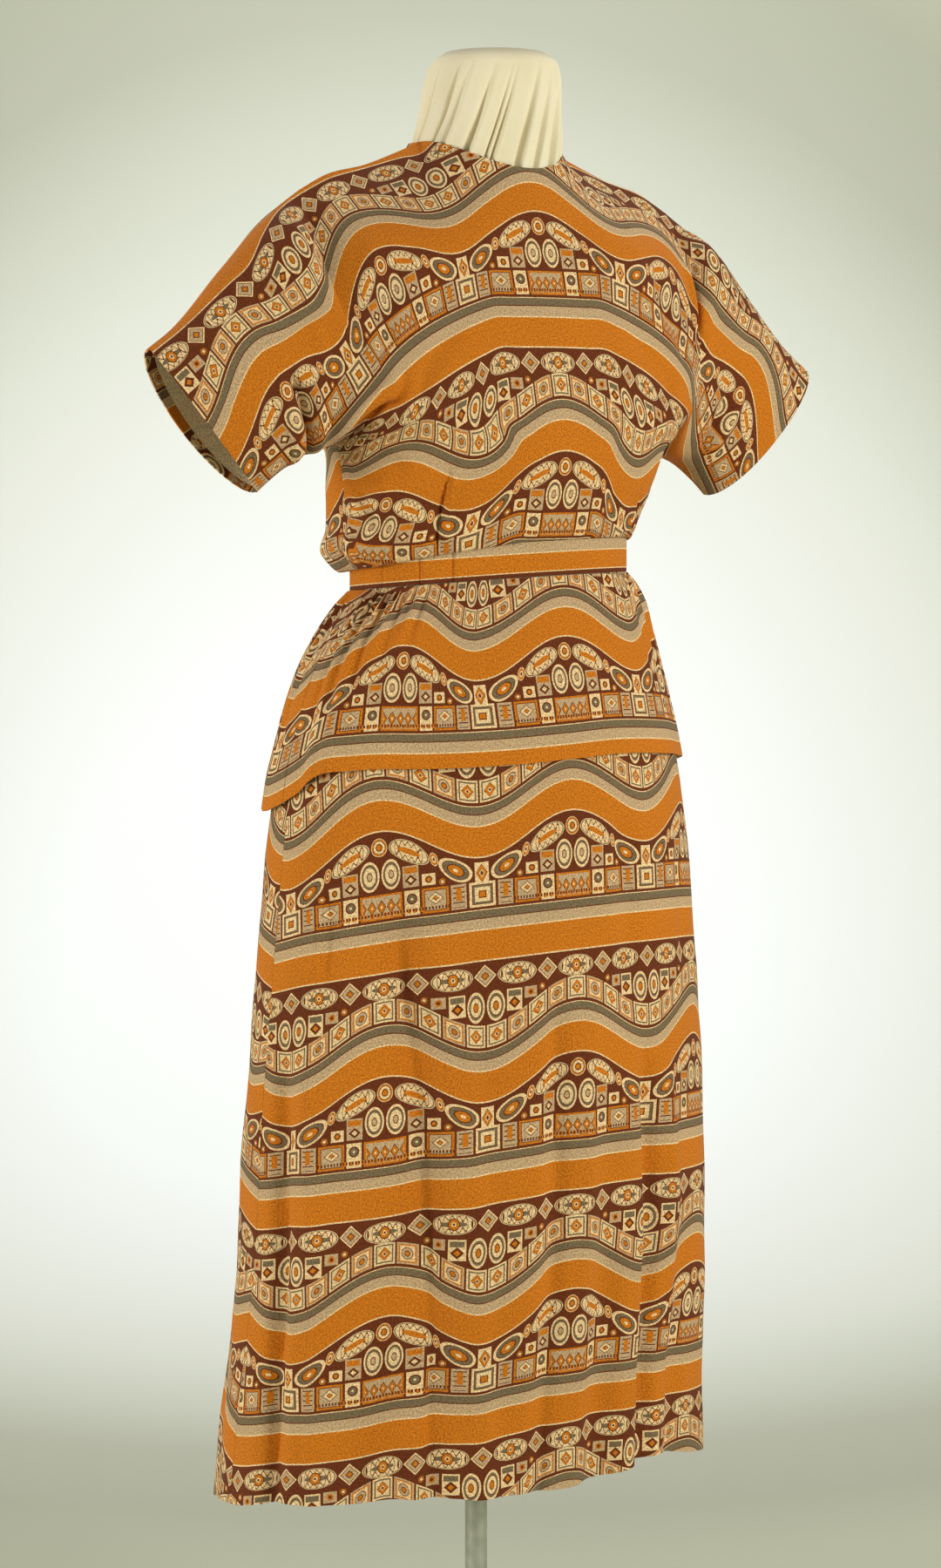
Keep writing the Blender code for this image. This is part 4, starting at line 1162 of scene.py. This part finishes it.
def bodice_levels(low, high):
    return np.concatenate([np.linspace(-1, 0, low + 1), np.linspace(0, 1, high + 1)[1:]])


def bodice_places(share, along):
    """A place for each column: -1 to 1 on the body, and beyond on the sleeves."""
    return np.concatenate([-1 - along[:0:-1], -share[:0:-1], share, 1 + along[1:]])


def bodice_cells(grid, low, sleeve):
    """Cells of the grid that are cloth. There are none below the sleeves."""
    cells = np.ones((grid.shape[0] - 1, grid.shape[1] - 1), bool)
    cells[:low, :sleeve] = False
    cells[:low, -sleeve:] = False
    return cells


def bodice_cut(ahead, levels, share, along, place):
    """Cloth coordinates of the coarse grid."""
    low = COARSE_ROWS
    grid = bodice_grid(ahead, levels, share, along)
    cells = bodice_cells(grid, low, COARSE_SLEEVE)
    middle = grid.shape[1] // 2
    start = rows_start(grid, middle, 1)
    for sleeve in (slice(0, COARSE_SLEEVE), slice(-COARSE_SLEEVE, None)):
        start[:low, sleeve, 0] = start[low, sleeve, 0]
    flat = squared_up(flatten(grid, cells, start), middle)
    flat = raised_sleeves(grid, cells, flat, place)
    flat[..., 1] -= flat[0, middle, 1]
    beyond = np.abs(place) > 1
    step = (flat[low + 1, beyond] - flat[low, beyond]) * COARSE_HIGH / low
    for row in range(low):
        flat[row, beyond] = flat[low, beyond] - (low - row) * step
    return flat


def make_bodice():
    coarse_levels = bodice_levels(COARSE_ROWS, COARSE_HIGH)
    coarse_share = np.linspace(0, 1, COARSE_BODY + 1)
    coarse_along = np.linspace(0, 1, COARSE_SLEEVE + 1)
    coarse_place = bodice_places(coarse_share, coarse_along)
    levels = bodice_levels(FINE_ROWS, FINE_HIGH)
    share = np.linspace(0, 1, FINE_BODY + 1)
    hem_start = 1 - SLEEVE_HEM_DEPTH / SLEEVE_LENGTH
    hem = np.linspace(hem_start, 1, FINE_HEM + 1)[1:]
    along = np.concatenate([np.linspace(0, hem_start, FINE_SLEEVE + 1), hem])
    place = bodice_places(share, along)
    beyond = np.abs(place)
    sleeve = len(along) - 1
    row = levels[:, None]
    thick = CLOTH * (EDGE_THINNING + (1 - EDGE_THINNING) * ease((row + 1) / EDGE_BLEND))
    in_hem = (beyond > 1 + hem_start) | np.isclose(beyond, 1 + hem_start)
    thick = thick * (1 + in_hem)[None, :]
    side_seam = np.where(row < NEAR_SEAM, np.abs(1 - beyond)[None, :] / SEAM_EASE, 1)
    sleeve_seam = np.where(beyond[None, :] > 1 - NEAR_SEAM, np.abs(row) / SEAM_EASE, 1)
    edges = ease((row - CREASES_FROM) / CREASES_BLEND) * ease((1 - row) / TOP_EASE)
    free = ease(side_seam) * ease(sleeve_seam) * edges
    for node, ahead, seed in (("bodice_front", 1, 0.4), ("bodice_back", -1, 2.1)):
        cut = bodice_cut(ahead, coarse_levels, coarse_share, coarse_along, coarse_place)
        flat = two_ways(coarse_levels, coarse_place, cut, levels, place)
        flat[..., 1] += BODICE_PHASE
        if ahead > 0:
            matched = flat[MATCHED_ROW, sleeve].copy()
        else:
            flat[..., 0] *= -1
            flat += matched - flat[MATCHED_ROW, sleeve]
        grid = bodice_grid(ahead, levels, share, along)
        away = -ahead * SEAM_GAP / 2
        grid[: FINE_ROWS + 1, np.isclose(beyond, 1), 1] += away
        grid[FINE_ROWS, beyond > 1, 1] += away
        grid[-1, beyond >= NECK_SHARE, 1] += away
        grid[0, :, 2] += PIECE_GAP
        grid[:FINE_ROWS, beyond > 1] = grid[FINE_ROWS, beyond > 1]
        cells = bodice_cells(grid, FINE_ROWS, sleeve)
        lining = np.ones(cells.shape, int)
        lining[:, (beyond[:-1] + beyond[1:]) / 2 > 1 + hem_start] = 0
        dress(node, grid, flat, cells, seed, 0.00025, free, thick, lining)


def angles_round(columns):
    """Angles all round from the wearer's right side seam."""
    return np.radians(np.linspace(-90, 270, columns, endpoint=False))


# Columns round the skirt and rows down it, coarse and fine, and where its creases start from its edges.
SKIRT_COARSE = (48, 21)
SKIRT_FINE_GRID = (340, 130)
SKIRT_SIDE_EASE = 0.06
SKIRT_TOP_EASE = 0.04


def make_skirt():
    coarse_angles, angles = angles_round(SKIRT_COARSE[0]), angles_round(SKIRT_FINE_GRID[0])
    coarse_drops, drops = np.linspace(0, 1, SKIRT_COARSE[1]), np.linspace(0, 1, SKIRT_FINE_GRID[1])

    def coarse_out(angle, drop):
        return fold_depth(SKIRT_FOLDS, angle, drop)

    def out(angle, drop):
        return fold_depth(SKIRT_FOLDS, angle, drop) + fold_depth(SKIRT_FINE, angle, drop)

    coarse = hanging(SKIRT_RINGS, coarse_angles, coarse_drops, "skirt", coarse_out)
    fine = hanging(SKIRT_RINGS, angles, drops, "skirt", out)
    fine[0, :, 2] -= PIECE_GAP
    pairs = zip(("skirt_front", "skirt_back"), halves(coarse), halves(fine), (0.9, 3.3))
    for node, rough_grid, grid, seed in pairs:
        middle = rough_grid.shape[1] // 2
        cut = squared_up(flatten(rough_grid, all_cells(rough_grid), rows_start(rough_grid, middle)), middle)
        cut[..., 1] -= cut[0, middle, 1]
        across = np.linspace(0, 1, grid.shape[1])
        flat = two_ways(coarse_drops, np.linspace(0, 1, cut.shape[1]), cut, drops, across)
        u = flat[..., 0]
        flat[..., 1] += SKIRT_PHASE + SKIRT_TILT * u + SKIRT_BOW * u * u
        sides = ease(across / SKIRT_SIDE_EASE) * ease((1 - across) / SKIRT_SIDE_EASE)
        free = sides[None, :] * ease(drops[:, None] / SKIRT_TOP_EASE)
        dress(node, grid, flat, all_cells(grid), seed, 0.0005, free)


# Stretches of the peplum's halves, from and to an angle with a count of columns. The middle one is plain.
PEPLUM_COLUMNS = {
    "peplum_front": ((-90, -34, 140), (-34, 40, 44), (40, 90, 120)),
    "peplum_back": ((90, 146, 132), (146, 214, 40), (214, 270, 132)),
}
# Rows down the peplum, and a power that draws them together near the band.
PEPLUM_ROWS = 52
PEPLUM_DRAWN = 1.15


def make_peplum():
    turns = {}
    for node, stretches in PEPLUM_COLUMNS.items():
        parts = [np.linspace(*stretch, endpoint=False) for stretch in stretches]
        turns[node] = np.concatenate([*parts, [stretches[-1][1]]])
    angles = np.radians(np.concatenate([turn[:-1] for turn in turns.values()]))
    drops = np.linspace(0, 1, PEPLUM_ROWS) ** PEPLUM_DRAWN
    longer = np.maximum(PEPLUM_HEM_HEIGHT - hem_level("peplum", angles), 0)

    def out(angle, drop):
        flare = PEPLUM_FLARE * longer[None, :] * drop
        return fold_depth(PEPLUM_FOLDS, angle, drop) + gather_depth(angle, drop) + flare

    points = hanging(PEPLUM_RINGS, angles, drops, "peplum", out)
    points[0, :, 2] -= PIECE_GAP
    for (node, turn), grid in zip(turns.items(), halves(points)):
        plain = PEPLUM_COLUMNS[node][1][:2]
        u = rows_start(grid, int(np.abs(turn - sum(plain) / 2).argmin()))[..., 0]
        hem_u = u[-1].copy()
        low, high = (int(np.abs(turn - edge).argmin()) for edge in plain)
        for edge, end, outer in ((low, 0, slice(0, low + 1)), (high, -1, slice(high, None))):
            share = (turn[outer] - turn[edge]) / (turn[end] - turn[edge])
            inner_u = u[:, edge : edge + 1].copy()
            u[:, outer] = inner_u + share[None, :] * (hem_u[end] - inner_u)
        fall = np.linalg.norm(np.diff(grid, axis=0), axis=-1)
        from_hem = np.concatenate([np.cumsum(fall[::-1], axis=0)[::-1], np.zeros((1, len(turn)))])
        dress(node, grid, np.stack([u, from_hem], axis=-1), all_cells(grid), 1.2, 0.0003)


BAND_COLUMNS = 600
BAND_ROWS = 14


def make_waistband():
    angles = angles_round(BAND_COLUMNS)[None, :]
    _, width, front, back, middle_x, middle_y, power = (values[0] for values in WAIST_RING.values())
    reach = oval(angles, width, front, back, power)
    x = reach * np.sin(angles)
    y = -reach * np.cos(angles)
    rise = np.linspace(PIECE_GAP, BAND_WIDTH - PIECE_GAP, BAND_ROWS)[::-1, None]
    z = WAIST_HEIGHT + waist_rise(x, y) + rise
    points = np.stack([x + middle_x + 0 * rise, y + middle_y + 0 * rise, z], axis=-1)
    for node, grid, seed in zip(("waistband_front", "waistband_back"), halves(points), (0.2, 1.9)):
        flat = rows_start(grid, grid.shape[1] // 2)
        flat[..., 1] += BAND_WIDTH - PIECE_GAP
        dress(node, grid, flat, all_cells(grid), seed, 0.0002, face=STRIPES)


# The neck cover's folds lean with the height, and each is a narrow dip with a low ridge at its side.
COVER_COLUMNS = 600
COVER_ROWS = (60, 20)
COVER_BEND = 1.454
COVER_FOLDS = 25
COVER_LEAN = 0.42
COVER_RAISED = 0.001
COVER_MIDDLES = ([0, -0.014, 1.3664], [0, -0.03, 1.4735])
# The folds' width in degrees and their depth: usual, how much they vary, and how fast from fold to fold.
FOLD_WIDTH = (2.0, 0.6, 1.9)
FOLD_DEPTH = (0.0052, 0.0018, 3.7)
# How sharp a fold's dip is, how it widens with the height, and its ridge's share, place and width.
FOLD_SHARPNESS = 1.6
FOLD_WIDENING = (0.85, 0.5)
RIDGE_SHARE = 0.3
RIDGE_AT = 1.6
RIDGE_WIDTH = 1.1


def make_cover():
    """The gathered cloth over the neck stump."""
    count = COVER_COLUMNS
    turn = np.linspace(0, 2 * np.pi, count, endpoint=False)
    lowest, highest = COVER_RINGS["height"][[0, -1]]
    rounded = np.linspace(COVER_BEND, highest, COVER_ROWS[1])[1:]
    heights = np.concatenate([np.linspace(lowest, COVER_BEND, COVER_ROWS[0]), rounded])
    rings = {name: smooth(COVER_RINGS["height"], COVER_RINGS[name], heights) for name in COVER_RINGS}
    folds = np.arange(COVER_FOLDS)
    at = 2 * np.pi * (folds + 0.3 * np.sin(folds * 2.4) + 0.2 * np.cos(folds * 5.1)) / COVER_FOLDS
    wide, deep = (usual + vary * np.sin(folds * pace) for usual, vary, pace in (FOLD_WIDTH, FOLD_DEPTH))
    wide = np.radians(wide)
    points = []
    for ring in rows_of(rings):
        rise = (ring["height"] - lowest) / (highest - lowest)
        away = np.angle(np.exp(1j * (turn[:, None] - at[None, :] - COVER_LEAN * rise)))
        widened = wide * (FOLD_WIDENING[0] + FOLD_WIDENING[1] * rise)
        dip = deep * np.exp(-(np.abs(away / widened) ** FOLD_SHARPNESS))
        from_ridge = (away - RIDGE_AT * wide) / (RIDGE_WIDTH * wide)
        ridge = RIDGE_SHARE * deep * np.exp(-(from_ridge**2))
        reach = ring["radius"] + COVER_RAISED - ring["fold"] * (dip - ridge).sum(axis=1)
        x = ring["middle_x"] + reach * np.sin(turn)
        y = ring["middle_y"] - reach * np.cos(turn)
        points.append(np.stack([x, y, ring["height"] + ring["saddle"] * np.sin(turn) ** 2], axis=-1))
    vertices = np.concatenate([*points, COVER_MIDDLES])
    around = [(c, (c + 1) % count) for c in range(count)]
    last = (len(points) - 1) * count
    faces = []
    for low in range(0, last, count):
        faces += [(low + c, low + n, low + count + n, low + count + c) for c, n in around]
    under = last + count
    for c, n in around:
        faces += [(under, n, c), (under + 1, last + c, last + n)]
    piece = new_object("neck_cover_cloth", new_mesh("neck_cover_cloth", vertices.tolist(), faces, JERSEY))
    declare(piece, "form_neck_cover")


def finish_stand():
    for name, material in (("form_torso", FORM_CLOTH), ("form_pole", STEEL), ("form_base", PAINT)):
        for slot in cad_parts[name].material_slots:
            slot.material = material


# The camera, as the photo was taken: round the dress, away from it and up, with the photo's middle beside
# and below the point straight ahead.
TURN = math.radians(34)
DISTANCE = 2.92
EYE_HEIGHT = 1.0825
FOCAL_PIXELS = 3947
PICTURE_HEIGHT = 1800
ASIDE_PIXELS = 6.5
BELOW_PIXELS = 300
FILM_HEIGHT = 36


def make_camera():
    data = bpy.data.cameras.new("camera")
    data.sensor_fit = "VERTICAL"
    data.sensor_height = FILM_HEIGHT
    data.lens = FOCAL_PIXELS / PICTURE_HEIGHT * FILM_HEIGHT
    camera = new_object("camera", data)
    aim = TURN - math.atan2(ASIDE_PIXELS, FOCAL_PIXELS)
    tilt = math.atan2(BELOW_PIXELS, FOCAL_PIXELS)
    forward = Vector((math.sin(aim) * math.cos(tilt), math.cos(aim) * math.cos(tilt), -math.sin(tilt)))
    camera.location = (-math.sin(TURN) * DISTANCE, -math.cos(TURN) * DISTANCE, EYE_HEIGHT)
    camera.rotation_euler = forward.to_track_quat("-Z", "Y").to_euler()
    bpy.context.scene.camera = camera


# The backdrop's painted light: lightest at its middle, with painted shade towards its edges. Its lightest
# place, how far its tones reach along it and across, and the tones.
PAPER_MIDDLE = 2.75
PAPER_REACH = 2.2
PAPER_SIDE = 1.85
PAPER_LEFT = -0.12
PAPER_PAINTED_LIGHT = (
    (0.3, linear(238, 241, 239)),
    (0.45, linear(228, 230, 223)),
    (0.6, linear(216, 219, 207)),
    (0.7, linear(200, 203, 188)),
    (0.79, linear(181, 183, 166)),
    (0.9, linear(174, 176, 156)),
    (1, linear(183, 185, 162)),
)
PAPER_PAINTED_LIGHT_START = linear(241, 243, 242)
# The floor's front edge, where it curves up and how much, the wall's top and half its width, and where the
# floor beside it ends, behind and at the sides.
FLOOR_FRONT = -6
SWEEP = 1.6
WALL_TOP = 6
WALL_HALF = 2
FLOOR_END = 7
# Points along the floor, the curve and the wall, and along the floor beside them.
PROFILE_STEPS = (20, 24, 12)
LEVEL_STEPS = 35
WORLD_LIGHT = 0.31
# Lamps by name: right, towards the camera and up, the same for what each is aimed at, size and power.
LAMPS = {
    "key": ((2.95, 2.06, 1.6), (0, 0, 0.75), 1.1, 102),
    "fill": ((-3.1, 1.8, 0.9), (0, 0, 0.65), 1.4, 68),
    "side": ((-3.7, 0.6, 1.5), (0, 0, 0.8), 1.8, 26),
    "wall": ((0, -1.7, 3.4), (0, -2.6, 0.6), 2.6, 54),
}


def seen(right, near, up):
    """A place from how far it is to the right, towards the camera and up, as the camera sees it."""
    c, s = math.cos(TURN), math.sin(TURN)
    return Vector((c * right - s * near, -s * right - c * near, up))


def painted_light_paper_material():
    material, tree, shader = new_material("studio_paper_painted_light")
    side, along, _ = parts_of(uv_map(tree, "paper"))
    side = side.scaled(1 / PAPER_SIDE, -PAPER_LEFT / PAPER_SIDE)
    rise = along.scaled(1 / PAPER_REACH, -PAPER_MIDDLE / PAPER_REACH)
    away = (side * side + rise * rise).math("SQRT")
    # Painted light and shade: lightest at the middle of the paper, darker away from it.
    colours = colours_along(away, PAPER_PAINTED_LIGHT_START, *PAPER_PAINTED_LIGHT, kind="LINEAR")
    fill(shader, {"Base Color": colours, "Roughness": 1.0, "Specular IOR Level": 0.0})
    return material


def make_studio():
    """A pale floor that curves up into a backdrop, and soft lights."""
    profile = [(depth, 0) for depth in np.linspace(FLOOR_FRONT, SWEEP, PROFILE_STEPS[0])]
    for a in np.linspace(0.05, math.pi / 2, PROFILE_STEPS[1]):
        profile.append((SWEEP * (1 + math.sin(a)), SWEEP * (1 - math.cos(a))))
    profile += [(2 * SWEEP, height) for height in np.linspace(1.8, WALL_TOP, PROFILE_STEPS[2])]
    level = [(depth, 0) for depth in np.linspace(FLOOR_FRONT, FLOOR_END, LEVEL_STEPS)]
    strips = (level, -FLOOR_END, -WALL_HALF), (profile, -WALL_HALF, WALL_HALF), (level, WALL_HALF, FLOOR_END)
    vertices, places, faces = [], [], []
    for rows, start, end in strips:
        steps = np.linalg.norm(np.diff(rows, axis=0), axis=1)
        lengths = FLOOR_FRONT + np.concatenate([[0], np.cumsum(steps)])
        sides = range(start, end + 1)
        n = len(sides)
        for i, ((depth, height), length) in enumerate(zip(rows, lengths)):
            if i > 0:
                corners = range(len(vertices) - n, len(vertices) - 1)
                faces += [(j, j + 1, j + n + 1, j + n) for j in corners]
            vertices += [seen(side, -depth, height) for side in sides]
            places += [(side, length) for side in sides]
    mesh = new_mesh("studio", vertices, faces, painted_light_paper_material())
    add_map(mesh, "paper", places)
    new_object("studio", mesh)
    world = bpy.data.worlds.new("soft_light")
    world.use_nodes = True
    fill(world.node_tree.nodes["Background"], {0: (1.0, 1.0, 1.0), 1: WORLD_LIGHT})
    bpy.context.scene.world = world
    for name, (place, aim, size, power) in LAMPS.items():
        data = bpy.data.lights.new(name, "AREA")
        data.size = size
        data.energy = power
        lamp = new_object(name, data)
        lamp.location = seen(*place)
        lamp.rotation_euler = (seen(*aim) - seen(*place)).to_track_quat("-Z", "Y").to_euler()
    bpy.context.scene.view_settings.view_transform = "Standard"


make_bodice()
make_waistband()
make_peplum()
make_skirt()
make_cover()
finish_stand()
make_camera()
make_studio()
